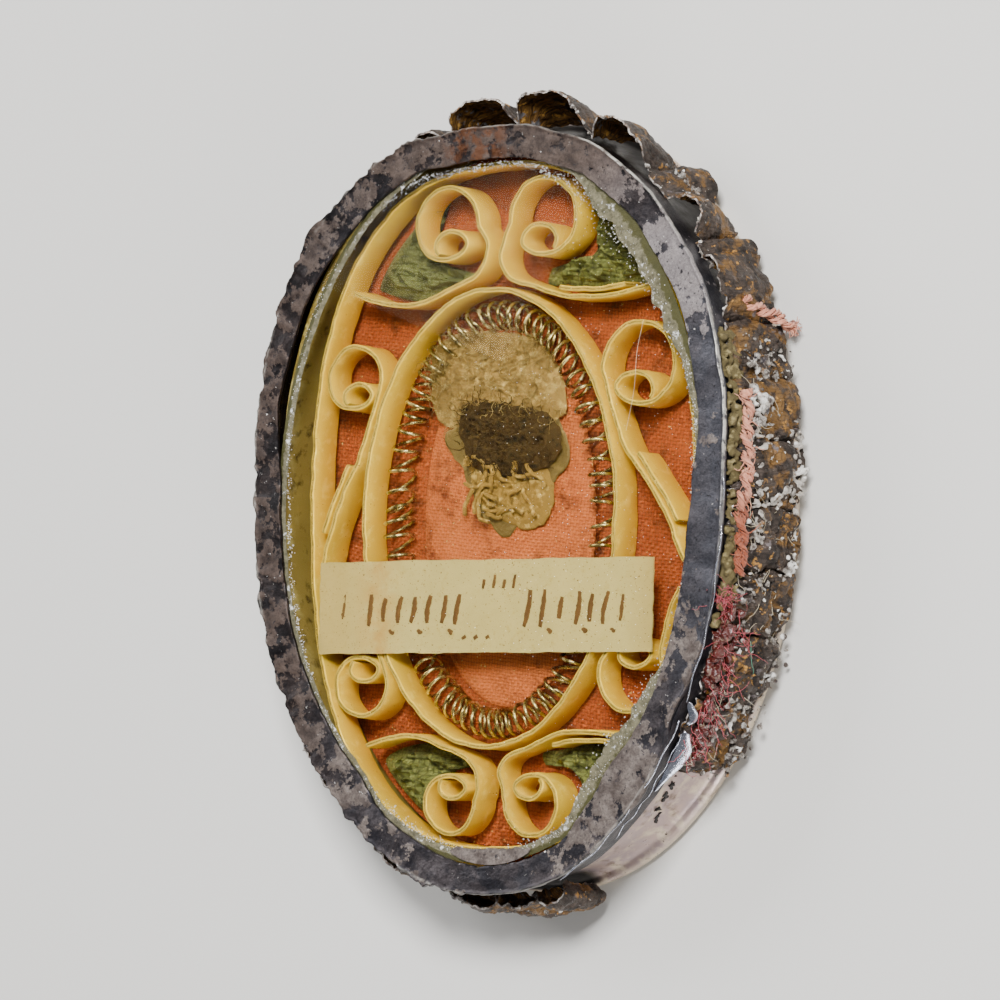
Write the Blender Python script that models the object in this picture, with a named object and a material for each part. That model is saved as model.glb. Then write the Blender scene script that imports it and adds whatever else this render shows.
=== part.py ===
"""Small oval reliquary capsule, lying on its back with its glass up.

+X is the right of the paper label, +Y the top of the capsule and +Z out of the glass.
The origin is the middle of the back's underside. All sizes are in metres.
"""
import math

import bmesh
import bpy
from mathutils import Vector, noise

# Case of silver sheet, an oval dish with a flat back and a rim round the back
CASE_HALF_WIDTH = 0.0161
CASE_HALF_HEIGHT = 0.02105
BACK_THICKNESS = 0.0005
BACK_RIM_HEIGHT = 0.0007
WALL_INSET = 0.0008
WALL_THICKNESS = 0.00045
OVAL_STEPS = 44
FIT_GAP = 0.0001

# Places round the case where its upper edge is bent out of its oval, with the distance outward
CASE_BENDS = [
    (0, -0.0002), (15, 0.0002), (30, 0.0005), (45, 0.0003), (60, 0.0), (75, -0.0005), (90, -0.00075),
    (100, -0.00065), (112, -0.0001), (125, 0.0002), (145, 0.0005), (160, 0.0003), (180, -0.0001),
    (210, 0.0), (250, 0.0), (270, 0.00015), (290, 0.0003), (310, 0.0), (325, -0.0001), (345, -0.0002),
    (360, -0.0002),
]

# Front bezel and the glass under it
BEZEL_THICKNESS = 0.00035
BEZEL_FACE_WIDTH = 0.0018
BEZEL_SKIRT_THICKNESS = 0.00035
BEZEL_SKIRT_LENGTH = 0.0019
GLASS_THICKNESS = 0.00085

# Silk ground, the padded medallion on it and the four silk patches
GROUND_THICKNESS = 0.0027
PATCH_THICKNESS = 0.0001
MEDALLION_X = -0.00085
MEDALLION_Y = -0.0009
MEDALLION_THICKNESS = 0.00045

# Gilt paper strips on edge
STRIP_THICKNESS = 0.0003
STRIP_HEIGHT = 0.0019
STRIP_STEP = 0.0009
MEDALLION_STRIP_HALF_WIDTH = 0.0086
MEDALLION_STRIP_HALF_HEIGHT = 0.0124
COIL_SIDE_ROOM = 0.003
COIL_END_ROOM = 0.0025
BORDER_SIDE_GAP = 0.0018
BORDER_END_GAP = 0.0013
BORDER_X = 0.00015
BORDER_Y = -0.0007
BORDER_SQUARENESS = 2.45
BORDER_LEAN = 0.03
BORDER_LEAN_ANGLE = 130.0
SCROLL_TURNS = 1.6

# Coiled wire round the medallion
COIL_RADIUS = 0.00072
COIL_WIRE_DIAMETER = 0.0003
COIL_TURNS = 69
COIL_STEPS = 5
COIL_WIRE_SIDES = 3

# Paper label over the strips
LABEL_LENGTH = 0.0227
LABEL_WIDTH = 0.0051
LABEL_THICKNESS = 0.00012
LABEL_X = -0.0009
LABEL_Y = -0.0057
LABEL_TILT = -0.8

# Pleated metal braid round the side, from the lower right round to the bottom
BRAID_START = -44.0
BRAID_END = 283.0
PLEAT_LENGTH = 0.0044
BRAID_HEIGHT = 0.0037
BRAID_STAND_LOW = 0.0002
BRAID_STAND_HIGH = 0.0011
BRAID_BULGE = 1.15
PLEAT_UNEVENNESS = 0.25

# Silk cord and wax left in the groove
CORD_DIAMETER = 0.00075
CORD_START = -12.0
CORD_STOP = 14.0
CORD_END_ANGLE = 26.0
CORD_END_LENGTH = 0.0024
WAX_START = -41.0
WAX_STOP = -22.0
WAX_DIAMETER = 0.0009

# Levels, from the floor up
GROUND_BOTTOM = BACK_THICKNESS + FIT_GAP
GROUND_TOP = GROUND_BOTTOM + GROUND_THICKNESS
STRIP_BOTTOM = GROUND_TOP + PATCH_THICKNESS + 2 * FIT_GAP
STRIP_TOP = STRIP_BOTTOM + STRIP_HEIGHT
LABEL_BOTTOM = STRIP_TOP + FIT_GAP
WALL_TOP = LABEL_BOTTOM + LABEL_THICKNESS
GLASS_BOTTOM = WALL_TOP + FIT_GAP
BEZEL_BOTTOM = GLASS_BOTTOM + GLASS_THICKNESS + FIT_GAP
BEZEL_TOP = BEZEL_BOTTOM + BEZEL_THICKNESS
SKIRT_BOTTOM = BEZEL_BOTTOM - BEZEL_SKIRT_LENGTH
BRAID_BOTTOM = BACK_RIM_HEIGHT + 4 * FIT_GAP
BRAID_TOP = BRAID_BOTTOM + BRAID_HEIGHT

INSIDE_INSET = WALL_INSET + WALL_THICKNESS
STRIP_PITCH = STRIP_THICKNESS + 1.5 * FIT_GAP
MEDALLION_HALF_WIDTH = MEDALLION_STRIP_HALF_WIDTH - COIL_SIDE_ROOM
MEDALLION_HALF_HEIGHT = MEDALLION_STRIP_HALF_HEIGHT - COIL_END_ROOM

# Eight scrolls: name, middle (angle round the medallion, share of the way out to the
# border), radius as a share of the room there, angle at which the strip leaves the scroll,
# winding, and the tail's points (angle, share)
SCROLLS = [
    ("scroll_top_left", (105, 0.6), 0.93, 0, 1,
     [(91.9, 0.36), (92.6, 0.18), (97, 0.05), (108, 0.04), (121, 0.15), (133, 0.5), (141, 0.95)]),
    ("scroll_top_right", (77, 0.6), 0.93, 180, -1,
     [(87.5, 0.4), (87.2, 0.2), (82, 0.05), (71, 0.04), (58, 0.15), (46, 0.5), (38, 0.95)]),
    ("scroll_upper_left", (153, 0.48), 0.98, 0, 1,
     [(164, 0.08), (173, 0.3), (181, 0.7), (186.5, 0.96)]),
    ("scroll_upper_right", (27, 0.48), 0.93, 180, -1,
     [(16, 0.08), (7, 0.3), (-1, 0.7), (-6.5, 0.96)]),
    ("scroll_lower_left", (213, 0.48), 0.98, 0, -1,
     [(204, 0.1), (199, 0.35), (195, 0.7), (192.5, 0.96)]),
    ("scroll_lower_right", (-32, 0.48), 0.86, 0, -1,
     [(-23, 0.8), (-16, 0.82), (-10.5, 0.93)]),
    ("scroll_bottom_left", (256.5, 0.6), 0.93, 0, -1,
     [(265.8, 0.4), (265.6, 0.2), (261, 0.05), (251, 0.05), (240, 0.14), (230, 0.45), (223, 0.82)]),
    ("scroll_bottom_right", (280.5, 0.6), 0.93, 180, 1,
     [(273.2, 0.4), (273.4, 0.2), (278, 0.05), (289, 0.05), (300, 0.14), (310, 0.45), (317, 0.82)]),
]
INNER_RADIUS_SHARE = 0.42
CURL_SHIFT_SHARE = 0.24

# Short filler strips laid beside a tail: name, scroll, first and last share of its tail
FILLERS = [
    ("filler_strip_right", "scroll_upper_right", 0.45, 0.8, 1),
    ("filler_strip_left", "scroll_upper_left", 0.45, 0.8, -1),
    ("filler_strip_top", "scroll_top_right", 0.5, 0.85, 1),
    ("filler_strip_bottom", "scroll_bottom_right", 0.5, 0.85, -1),
]

# Green silk patches: name and outline (angle, share of the way out to the border)
PATCHES = [
    ("green_silk_upper_left",
     [(105, 0.05), (118, 0.2), (129, 0.55), (133, 0.9), (122, 0.97), (108, 0.75)]),
    ("green_silk_upper_right",
     [(75, 0.1), (62, 0.2), (54, 0.5), (51, 0.85), (60, 0.95), (68, 0.6)]),
    ("green_silk_lower_left",
     [(254, 0.1), (243, 0.2), (231, 0.6), (228, 0.93), (237, 0.95), (250, 0.5)]),
    ("green_silk_lower_right",
     [(286, 0.1), (297, 0.2), (309, 0.6), (312, 0.93), (303, 0.95), (290, 0.5)]),
]

# Scraps under the relic: outlines as shares of the medallion's half width and height
PAPER_SCRAP = [(-0.45, 0.84), (-0.1, 0.9), (0.3, 0.86), (0.6, 0.66), (0.55, 0.56), (-0.25, 0.54),
               (-0.72, 0.62)]
LEAF_SCRAP = [(-0.66, 0.5), (0.5, 0.48), (0.85, 0.33), (0.6, 0.15), (0.32, 0.02), (0.08, -0.11),
              (-0.18, 0.02), (-0.4, 0.16), (-0.58, 0.34)]
SCRAP_THICKNESS = 0.00012
RELIC_X_SHARE = 0.14
RELIC_Y_SHARE = 0.43
RELIC_RADIUS = 0.0019
RELIC_THICKNESS = 0.0008
RELIC_UNDERSIDE = 0.00015


def clear_objects():
    for old in list(bpy.data.objects):
        bpy.data.objects.remove(old, do_unlink=True)


def make_material(name, colour, roughness, metallic=0.0, transmission=0.0):
    material = bpy.data.materials.new(name)
    material.use_nodes = True
    shader = material.node_tree.nodes["Principled BSDF"]
    shader.inputs["Base Color"].default_value = (*colour, 1.0)
    shader.inputs["Roughness"].default_value = roughness
    shader.inputs["Metallic"].default_value = metallic
    shader.inputs["Transmission Weight"].default_value = transmission
    return material


def finish_mesh(name, bm, material, smooth=True):
    """Turn the faces outward and put the mesh in the scene."""
    bmesh.ops.recalc_face_normals(bm, faces=bm.faces)
    mesh = bpy.data.meshes.new(name)
    bm.to_mesh(mesh)
    bm.free()
    mesh.materials.append(material)
    if smooth:
        mesh.shade_smooth()
        mesh.set_sharp_from_angle(angle=math.radians(35))
    body = bpy.data.objects.new(name, mesh)
    bpy.context.scene.collection.objects.link(body)
    return body


def oval_point(angle, half_width, half_height, centre=(0.0, 0.0), squareness=2.0):
    """Point of an oval; a squareness over 2 fills out its four corners."""
    across = math.cos(math.radians(angle))
    up = math.sin(math.radians(angle))
    x = math.copysign(abs(across) ** (2 / squareness), across) * half_width
    y = math.copysign(abs(up) ** (2 / squareness), up) * half_height
    return Vector((centre[0] + x, centre[1] + y))


def ease(value):
    value = min(1.0, max(0.0, value))
    return value * value * (3 - 2 * value)


def case_bend(angle, z):
    """How far the case is bent out of its oval, nothing at the back and most at the front."""
    angle %= 360.0
    for (start, first), (stop, second) in zip(CASE_BENDS, CASE_BENDS[1:]):
        if start <= angle <= stop:
            return (first + (second - first) * ease((angle - start) / (stop - start))) * z / WALL_TOP


def case_point(angle, outset, z):
    """Point at a distance outside the case's outline."""
    reach = outset + case_bend(angle, z)
    place = oval_point(angle, CASE_HALF_WIDTH + reach, CASE_HALF_HEIGHT + reach)
    return Vector((place.x, place.y, z))


def case_ring(bm, inset, z):
    return [bm.verts.new(case_point(360.0 * step / OVAL_STEPS, -inset, z)) for step in range(OVAL_STEPS)]


def join_rings(bm, first, second, closed=True):
    count = len(first)
    for step in range(count if closed else count - 1):
        following = (step + 1) % count
        bm.faces.new((first[step], first[following], second[following], second[step]))


def case_solid(name, profile, material):
    """Loft rings through (inset, height) pairs and close both ends with a flat face."""
    bm = bmesh.new()
    close_rings(name, bm, [case_ring(bm, inset, z) for inset, z in profile], material)


def close_rings(name, bm, rings, material):
    for first, second in zip(rings, rings[1:]):
        join_rings(bm, first, second)
    bm.faces.new(rings[0])
    bm.faces.new(rings[-1])
    return finish_mesh(name, bm, material)


def case_hoop(name, profile, material):
    """Loft rings through (inset, height) pairs and back to the first one."""
    bm = bmesh.new()
    rings = [case_ring(bm, inset, z) for inset, z in profile]
    for first, second in zip(rings, rings[1:] + rings[:1]):
        join_rings(bm, first, second)
    return finish_mesh(name, bm, material)


def make_case(material):
    rim = BACK_RIM_HEIGHT
    profile = [
        (1.8 * rim, 0.0),
        (0.6 * rim, 0.12 * rim),
        (0.0, 0.5 * rim),
        (0.0, rim),
        (0.45 * WALL_INSET, 1.4 * rim),
        (0.8 * WALL_INSET, 2.1 * rim),
        (WALL_INSET, 3.4 * rim),
        (WALL_INSET, WALL_TOP),
        (INSIDE_INSET, WALL_TOP),
        (INSIDE_INSET, BACK_THICKNESS),
    ]
    case_solid("case_shell", profile, material)


def make_bezel(material):
    skirt_inside = WALL_INSET - FIT_GAP
    skirt_outside = skirt_inside - BEZEL_SKIRT_THICKNESS
    edge = 0.3 * BEZEL_THICKNESS
    profile = [
        (0.0, BEZEL_BOTTOM),
        (0.0, BEZEL_TOP - edge),
        (edge, BEZEL_TOP),
        (BEZEL_FACE_WIDTH, BEZEL_TOP),
        (BEZEL_FACE_WIDTH, BEZEL_BOTTOM),
        (skirt_inside, BEZEL_BOTTOM),
        (skirt_inside, SKIRT_BOTTOM),
        (skirt_outside, SKIRT_BOTTOM),
        (skirt_outside, BEZEL_BOTTOM),
    ]
    case_hoop("front_bezel", profile, material)


def make_glass(material):
    edge = WALL_INSET
    profile = [(edge, GLASS_BOTTOM), (edge, GLASS_BOTTOM + GLASS_THICKNESS)]
    case_solid("glass_pane", profile, material)


def make_ground(material):
    edge = INSIDE_INSET + FIT_GAP
    bevel = 0.15 * GROUND_THICKNESS
    profile = [
        (edge, GROUND_BOTTOM),
        (edge, GROUND_TOP - bevel),
        (edge + bevel, GROUND_TOP),
    ]
    case_solid("silk_ground", profile, material)


def make_medallion(material):
    bottom = GROUND_TOP + FIT_GAP
    top = bottom + MEDALLION_THICKNESS
    profile = [
        (0.0, bottom),
        (0.0, bottom + 0.4 * MEDALLION_THICKNESS),
        (0.12 * MEDALLION_HALF_WIDTH, bottom + 0.75 * MEDALLION_THICKNESS),
        (0.4 * MEDALLION_HALF_WIDTH, top),
    ]
    bm = bmesh.new()
    rings = []
    for inset, z in profile:
        ring = []
        for step in range(OVAL_STEPS):
            place = oval_point(360.0 * step / OVAL_STEPS, MEDALLION_HALF_WIDTH - inset,
                               MEDALLION_HALF_HEIGHT - inset, (MEDALLION_X, MEDALLION_Y))
            ring.append(bm.verts.new((place.x, place.y, z)))
        rings.append(ring)
    close_rings("medallion_silk", bm, rings, material)
    return top


def border_point(angle, inset=0.0):
    """Middle line of the border strip, fuller towards its upper left."""
    lean = 1.0 + BORDER_LEAN * math.cos(math.radians(angle - BORDER_LEAN_ANGLE))
    half_width = (CASE_HALF_WIDTH - INSIDE_INSET - BORDER_SIDE_GAP - inset) * lean
    half_height = (CASE_HALF_HEIGHT - INSIDE_INSET - BORDER_END_GAP - inset) * lean
    return oval_point(angle, half_width, half_height, (BORDER_X, BORDER_Y), BORDER_SQUARENESS)


def medallion_strip_point(angle, outset=0.0):
    half_width = MEDALLION_STRIP_HALF_WIDTH + outset
    half_height = MEDALLION_STRIP_HALF_HEIGHT + outset
    return oval_point(angle, half_width, half_height, (MEDALLION_X, MEDALLION_Y))


def between(angle, share):
    """Place between the medallion's strip and the border, clear of both."""
    inner = medallion_strip_point(angle, STRIP_PITCH)
    outer = border_point(angle, STRIP_PITCH)
    return inner.lerp(outer, share)


def room_round(centre):
    """Distance to the nearest of the two strips, less what clears it; below 0 outside them."""
    inner, outer = (min((between(angle, side) for angle in range(0, 360, 2)),
                        key=lambda place: (place - centre).length) for side in (0.0, 1.0))
    room = min((inner - centre).length, (outer - centre).length)
    return room if inner.length < centre.length < outer.length else -room


def smooth_path(points, step):
    """Even points along a smooth curve through the given ones."""
    ends = [points[0] * 2 - points[1]] + points + [points[-1] * 2 - points[-2]]
    path = [points[0].copy()]
    for before, start, end, after in zip(ends, ends[1:], ends[2:], ends[3:]):
        count = max(1, round((end - start).length / step))
        for index in range(1, count + 1):
            t = index / count
            path.append(0.5 * (2 * start + (end - before) * t
                               + (2 * before - 5 * start + 4 * end - after) * t * t
                               + (3 * start - before - 3 * end + after) * t * t * t))
    return path


def scroll_path(middle, radius_share, leave_angle, winding, tail):
    """Curled end, from inside out, then the tail that runs on from it."""
    centre = between(*middle)
    radius = radius_share * room_round(centre)
    shift = Vector((0.0, -1.0 if middle[0] < 180 and middle[0] > 0 else 1.0)) * radius * CURL_SHIFT_SHARE
    count = round(2 * math.pi * radius * SCROLL_TURNS / STRIP_STEP) + 6
    curl = []
    for index in range(count + 1):
        turns_in = SCROLL_TURNS * (1 - index / count)
        tightness = ease((turns_in - 0.3) / 0.8)
        reach = radius * (1 - (1 - INNER_RADIUS_SHARE) * tightness)
        angle = math.radians(leave_angle) + winding * 2 * math.pi * turns_in
        offset = Vector((math.cos(angle), math.sin(angle))) * reach
        curl.append(centre + offset + shift * tightness)
    tail_points = [between(angle, share) for angle, share in tail]
    run = smooth_path([curl[-2], curl[-1]] + tail_points, 1.3 * STRIP_STEP)
    first_new = next(index for index, place in enumerate(run) if (place - curl[-1]).length < 1e-7)
    return curl + run[first_new + 1:], len(curl)


def strip_from_path(name, path, material, closed=False):
    """Stand a paper strip on edge along a path."""
    bm = bmesh.new()
    verts = [bm.verts.new((place.x, place.y, STRIP_BOTTOM)) for place in path]
    edges = [bm.edges.new(pair) for pair in zip(verts, verts[1:])]
    if closed:
        edges.append(bm.edges.new((verts[-1], verts[0])))
    raised = bmesh.ops.extrude_edge_only(bm, edges=edges)
    top = [item for item in raised["geom"] if isinstance(item, bmesh.types.BMVert)]
    bmesh.ops.translate(bm, verts=top, vec=(0, 0, STRIP_HEIGHT))
    strip = finish_mesh(name, bm, material)
    wall = strip.modifiers.new("Paper", "SOLIDIFY")
    wall.thickness = STRIP_THICKNESS
    wall.offset = 0.0
    wall.use_even_offset = True
    return strip


def beside(path, distance):
    """The same path moved sideways."""
    moved = []
    for index, place in enumerate(path):
        along = path[min(index + 1, len(path) - 1)] - path[max(index - 1, 0)]
        moved.append(place + Vector((-along.y, along.x)).normalized() * distance)
    return moved


def make_strips(material):
    angles = [360.0 * step / OVAL_STEPS for step in range(OVAL_STEPS)]
    strip_from_path("border_strip", [border_point(angle) for angle in angles], material, closed=True)
    inner = [medallion_strip_point(angle) for angle in angles]
    strip_from_path("medallion_strip", inner, material, closed=True)
    tails = {}
    for name, middle, radius_share, leave_angle, winding, tail in SCROLLS:
        path, curl_length = scroll_path(middle, radius_share, leave_angle, winding, tail)
        strip_from_path(name, path, material)
        tails[name] = path[curl_length - 1:]
    for name, host, first, last, side in FILLERS:
        tail = tails[host]
        stretch = beside(tail[int(first * len(tail)):int(last * len(tail)) + 1], side * STRIP_PITCH)
        clear = [place for place in stretch if room_round(place) > FIT_GAP]
        strip_from_path(name, clear, material)


def flat_piece(name, outline, bottom, thickness, material):
    bm = bmesh.new()
    face = bm.faces.new([bm.verts.new((place.x, place.y, bottom)) for place in outline])
    raised = bmesh.ops.extrude_face_region(bm, geom=[face])
    top = [item for item in raised["geom"] if isinstance(item, bmesh.types.BMVert)]
    bmesh.ops.translate(bm, verts=top, vec=(0, 0, thickness))
    return finish_mesh(name, bm, material, smooth=False)


def make_patches(material):
    for name, outline in PATCHES:
        places = [between(angle, share) for angle, share in outline]
        flat_piece(name, places, GROUND_TOP + FIT_GAP, PATCH_THICKNESS, material)


def on_medallion(share_x, share_y):
    return Vector((MEDALLION_X + share_x * MEDALLION_HALF_WIDTH,
                   MEDALLION_Y + share_y * MEDALLION_HALF_HEIGHT))


def make_relic(medallion_top, paper_material, leaf_material, relic_material):
    scrap_bottom = medallion_top + FIT_GAP
    paper = [on_medallion(*share) for share in PAPER_SCRAP]
    flat_piece("paper_scrap", paper, scrap_bottom, SCRAP_THICKNESS, paper_material)
    leaf = [on_medallion(*share) for share in LEAF_SCRAP]
    flat_piece("leaf_scrap", leaf, scrap_bottom, SCRAP_THICKNESS, leaf_material)
    widest = scrap_bottom + SCRAP_THICKNESS + FIT_GAP + RELIC_UNDERSIDE
    middle = on_medallion(RELIC_X_SHARE, RELIC_Y_SHARE)
    bm = bmesh.new()
    bmesh.ops.create_icosphere(bm, subdivisions=3, radius=1.0)
    for vert in bm.verts:
        lumps = 1.0 + 0.25 * noise.noise(vert.co * 2.2)
        height = vert.co.z * (lumps * RELIC_THICKNESS if vert.co.z > 0 else RELIC_UNDERSIDE)
        vert.co = Vector((middle.x + vert.co.x * RELIC_RADIUS * lumps,
                          middle.y + vert.co.y * RELIC_RADIUS * 0.8 * lumps,
                          widest + height))
    finish_mesh("relic", bm, relic_material)


def round_cord(name, points, diameter, material):
    curve = bpy.data.curves.new(name, "CURVE")
    curve.dimensions = "3D"
    curve.bevel_depth = diameter / 2
    curve.bevel_resolution = 2
    curve.use_fill_caps = True
    spline = curve.splines.new("POLY")
    spline.points.add(len(points) - 1)
    for place, point in zip(points, spline.points):
        point.co = (*place, 1.0)
    curve.materials.append(material)
    body = bpy.data.objects.new(name, curve)
    bpy.context.scene.collection.objects.link(body)
    return body


def make_coil(material):
    """Wire wound round an oval that lies on the silk, between medallion and strip."""
    reach = COIL_RADIUS + COIL_WIRE_DIAMETER / 2
    half_width = (MEDALLION_HALF_WIDTH + MEDALLION_STRIP_HALF_WIDTH - STRIP_THICKNESS / 2) / 2
    half_height = (MEDALLION_HALF_HEIGHT + MEDALLION_STRIP_HALF_HEIGHT - STRIP_THICKNESS / 2) / 2
    middle = GROUND_TOP + FIT_GAP + reach
    centre = (MEDALLION_X, MEDALLION_Y)
    count = COIL_TURNS * COIL_STEPS
    places = []
    for step in range(count):
        angle = 360.0 * step / count
        place = oval_point(angle, half_width, half_height, centre)
        ahead = oval_point(angle + 0.5, half_width, half_height, centre) - place
        outward = Vector((ahead.y, -ahead.x)).normalized()
        wind = 2 * math.pi * step / COIL_STEPS
        place += outward * COIL_RADIUS * math.cos(wind)
        places.append(Vector((place.x, place.y, middle + COIL_RADIUS * math.sin(wind))))
    bm = bmesh.new()
    rings = []
    for step, place in enumerate(places):
        along = (places[(step + 1) % count] - places[step - 1]).normalized()
        base = oval_point(360.0 * step / count, half_width, half_height, centre)
        out = (place - Vector((base.x, base.y, middle))).normalized()
        out = (out - along * out.dot(along)).normalized()
        across = along.cross(out)
        ring = []
        for corner in range(COIL_WIRE_SIDES):
            turn = 2 * math.pi * corner / COIL_WIRE_SIDES
            offset = out * math.cos(turn) + across * math.sin(turn)
            ring.append(bm.verts.new(place + offset * COIL_WIRE_DIAMETER / 2))
        rings.append(ring)
    for first, second in zip(rings, rings[1:] + rings[:1]):
        join_rings(bm, first, second)
    finish_mesh("wire_coil", bm, material)


def make_label(material):
    bm = bmesh.new()
    bmesh.ops.create_grid(bm, x_segments=8, y_segments=1, size=0.5)
    for vert in bm.verts:
        vert.co = Vector((vert.co.x * LABEL_LENGTH, vert.co.y * LABEL_WIDTH, 0.0))
    raised = bmesh.ops.extrude_face_region(bm, geom=bm.faces[:])
    top = [item for item in raised["geom"] if isinstance(item, bmesh.types.BMVert)]
    bmesh.ops.translate(bm, verts=top, vec=(0, 0, LABEL_THICKNESS))
    label = finish_mesh("paper_label", bm, material, smooth=False)
    label.location = (LABEL_X, LABEL_Y, LABEL_BOTTOM)
    label.rotation_euler.z = math.radians(LABEL_TILT)


def pleat_height(angle):
    """How far a fold of the braid stands out at an angle, most at the top."""
    swell = 0.75 + 0.5 * max(0.0, math.cos(math.radians(angle - 85.0))) ** 2
    uneven = 1.0 + 0.35 * noise.noise(Vector((angle * 0.11, 0.5, 0.0)))
    return BRAID_STAND_LOW + (BRAID_STAND_HIGH - BRAID_STAND_LOW) * swell * uneven


def make_braid(material):
    around = math.radians(BRAID_END - BRAID_START) * (CASE_HALF_WIDTH + CASE_HALF_HEIGHT) / 2
    pleats = round(around / PLEAT_LENGTH)
    inside = -(WALL_INSET - FIT_GAP)
    stations = []
    for pleat in range(pleats):
        slip = PLEAT_UNEVENNESS * noise.noise(Vector((pleat * 1.7, 2.5, 0.0)))
        folds = [(0.0, False), (0.16 + slip, True), (0.68 + slip, True), (0.86 + 0.5 * slip, False)]
        stations += [((pleat + share) / pleats, raised) for share, raised in folds]
    stations.append((1.0, False))
    bm = bmesh.new()
    rings = []
    for run, raised in stations:
        angle = BRAID_START + (BRAID_END - BRAID_START) * run
        stand = pleat_height(angle) if raised else BRAID_STAND_LOW
        section = [
            (inside, 3.4 * BACK_RIM_HEIGHT),
            (0.0, BRAID_BOTTOM),
            (stand, BRAID_BOTTOM),
            (BRAID_BULGE * stand, BRAID_BOTTOM + 0.5 * BRAID_HEIGHT),
            (0.9 * stand, BRAID_TOP),
            (inside, BRAID_TOP),
        ]
        rings.append([bm.verts.new(case_point(angle, outset, z)) for outset, z in section])
    for first, second in zip(rings, rings[1:]):
        join_rings(bm, first, second)
    bm.faces.new(rings[0])
    bm.faces.new(rings[-1])
    finish_mesh("pleated_braid", bm, material, smooth=False)


def groove_points(first_angle, last_angle, count, diameter):
    """Points in the corner above the braid, outside the bezel's skirt."""
    outset = diameter / 2 + FIT_GAP - (WALL_INSET - FIT_GAP - BEZEL_SKIRT_THICKNESS)
    z = BRAID_TOP + FIT_GAP + diameter / 2
    points = []
    for step in range(count):
        angle = first_angle + (last_angle - first_angle) * step / (count - 1)
        points.append(case_point(angle, outset, z))
    return points


def make_cord(material):
    points = groove_points(CORD_START, CORD_STOP, 10, CORD_DIAMETER)
    round_cord("silk_cord", points, CORD_DIAMETER, material)
    outset = BRAID_BULGE * pleat_height(CORD_END_ANGLE) + CORD_DIAMETER / 2 + FIT_GAP
    root = case_point(CORD_END_ANGLE, outset, BRAID_BOTTOM + 0.75 * BRAID_HEIGHT)
    points = []
    for step in range(6):
        run = CORD_END_LENGTH * step / 5
        points.append(root + Vector((0.3, -0.35, -0.75)) * run)
    round_cord("silk_cord_end", points, CORD_DIAMETER, material)


def make_wax(material):
    points = groove_points(WAX_START, WAX_STOP, 9, WAX_DIAMETER)
    body = round_cord("wax_remains", points, WAX_DIAMETER, material)
    for index, point in enumerate(body.data.splines[0].points):
        point.radius = 0.7 + 0.3 * math.sin(1.9 * index) ** 2


def build():
    clear_objects()
    case_silver = make_material("case_silver", (0.62, 0.6, 0.56), 0.35, 0.9)
    bezel_silver = make_material("bezel_silver", (0.16, 0.15, 0.17), 0.5, 0.8)
    clear_glass = make_material("clear_glass", (0.95, 0.97, 0.93), 0.05, transmission=1.0)
    red_silk = make_material("red_silk", (0.55, 0.12, 0.06), 0.7)
    green_silk = make_material("green_silk", (0.13, 0.2, 0.1), 0.7)
    gilt_paper = make_material("gilt_paper", (0.65, 0.4, 0.09), 0.45, 0.3)
    coil_wire = make_material("coil_wire", (0.6, 0.58, 0.45), 0.3, 0.9)
    label_paper = make_material("label_paper", (0.75, 0.7, 0.55), 0.85)
    scrap_paper = make_material("scrap_paper", (0.4, 0.33, 0.2), 0.85)
    leaf_grey = make_material("leaf_grey", (0.25, 0.24, 0.17), 0.6)
    relic_brown = make_material("relic_brown", (0.06, 0.035, 0.02), 0.9)
    braid_metal = make_material("braid_metal", (0.2, 0.16, 0.12), 0.55, 0.7)
    cord_silk = make_material("cord_silk", (0.6, 0.25, 0.18), 0.7)
    red_wax = make_material("red_wax", (0.12, 0.015, 0.015), 0.35)
    make_case(case_silver)
    make_bezel(bezel_silver)
    make_glass(clear_glass)
    make_ground(red_silk)
    medallion_top = make_medallion(red_silk)
    make_strips(gilt_paper)
    make_patches(green_silk)
    make_relic(medallion_top, scrap_paper, leaf_grey, relic_brown)
    make_coil(coil_wire)
    make_label(label_paper)
    make_braid(braid_metal)
    make_cord(cord_silk)
    make_wax(red_wax)


build()
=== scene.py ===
"""Looks of the small oval reliquary capsule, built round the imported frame.

Lengths are in metres. +X is the right of the paper label, +Y the top, +Z out of the glass.
"""
import math
import random

import bpy
from mathutils import Matrix, Vector, noise


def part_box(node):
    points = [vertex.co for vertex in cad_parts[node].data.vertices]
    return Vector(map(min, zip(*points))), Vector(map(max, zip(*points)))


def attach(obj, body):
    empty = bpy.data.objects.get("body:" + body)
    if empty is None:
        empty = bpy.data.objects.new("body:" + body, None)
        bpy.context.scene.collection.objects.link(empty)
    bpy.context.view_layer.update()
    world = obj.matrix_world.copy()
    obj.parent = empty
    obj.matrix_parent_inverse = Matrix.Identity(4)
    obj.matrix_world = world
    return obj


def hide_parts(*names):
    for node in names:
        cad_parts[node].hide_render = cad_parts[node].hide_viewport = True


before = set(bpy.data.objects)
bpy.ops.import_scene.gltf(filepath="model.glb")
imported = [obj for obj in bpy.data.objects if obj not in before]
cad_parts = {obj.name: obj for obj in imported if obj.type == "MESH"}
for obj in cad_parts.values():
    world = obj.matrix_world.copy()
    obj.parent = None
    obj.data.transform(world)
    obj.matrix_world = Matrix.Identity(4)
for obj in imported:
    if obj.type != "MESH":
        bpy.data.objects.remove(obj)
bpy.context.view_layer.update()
bpy.ops.object.select_all(action="DESELECT")
noise.seed_set(7)

MM = 0.001

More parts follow.
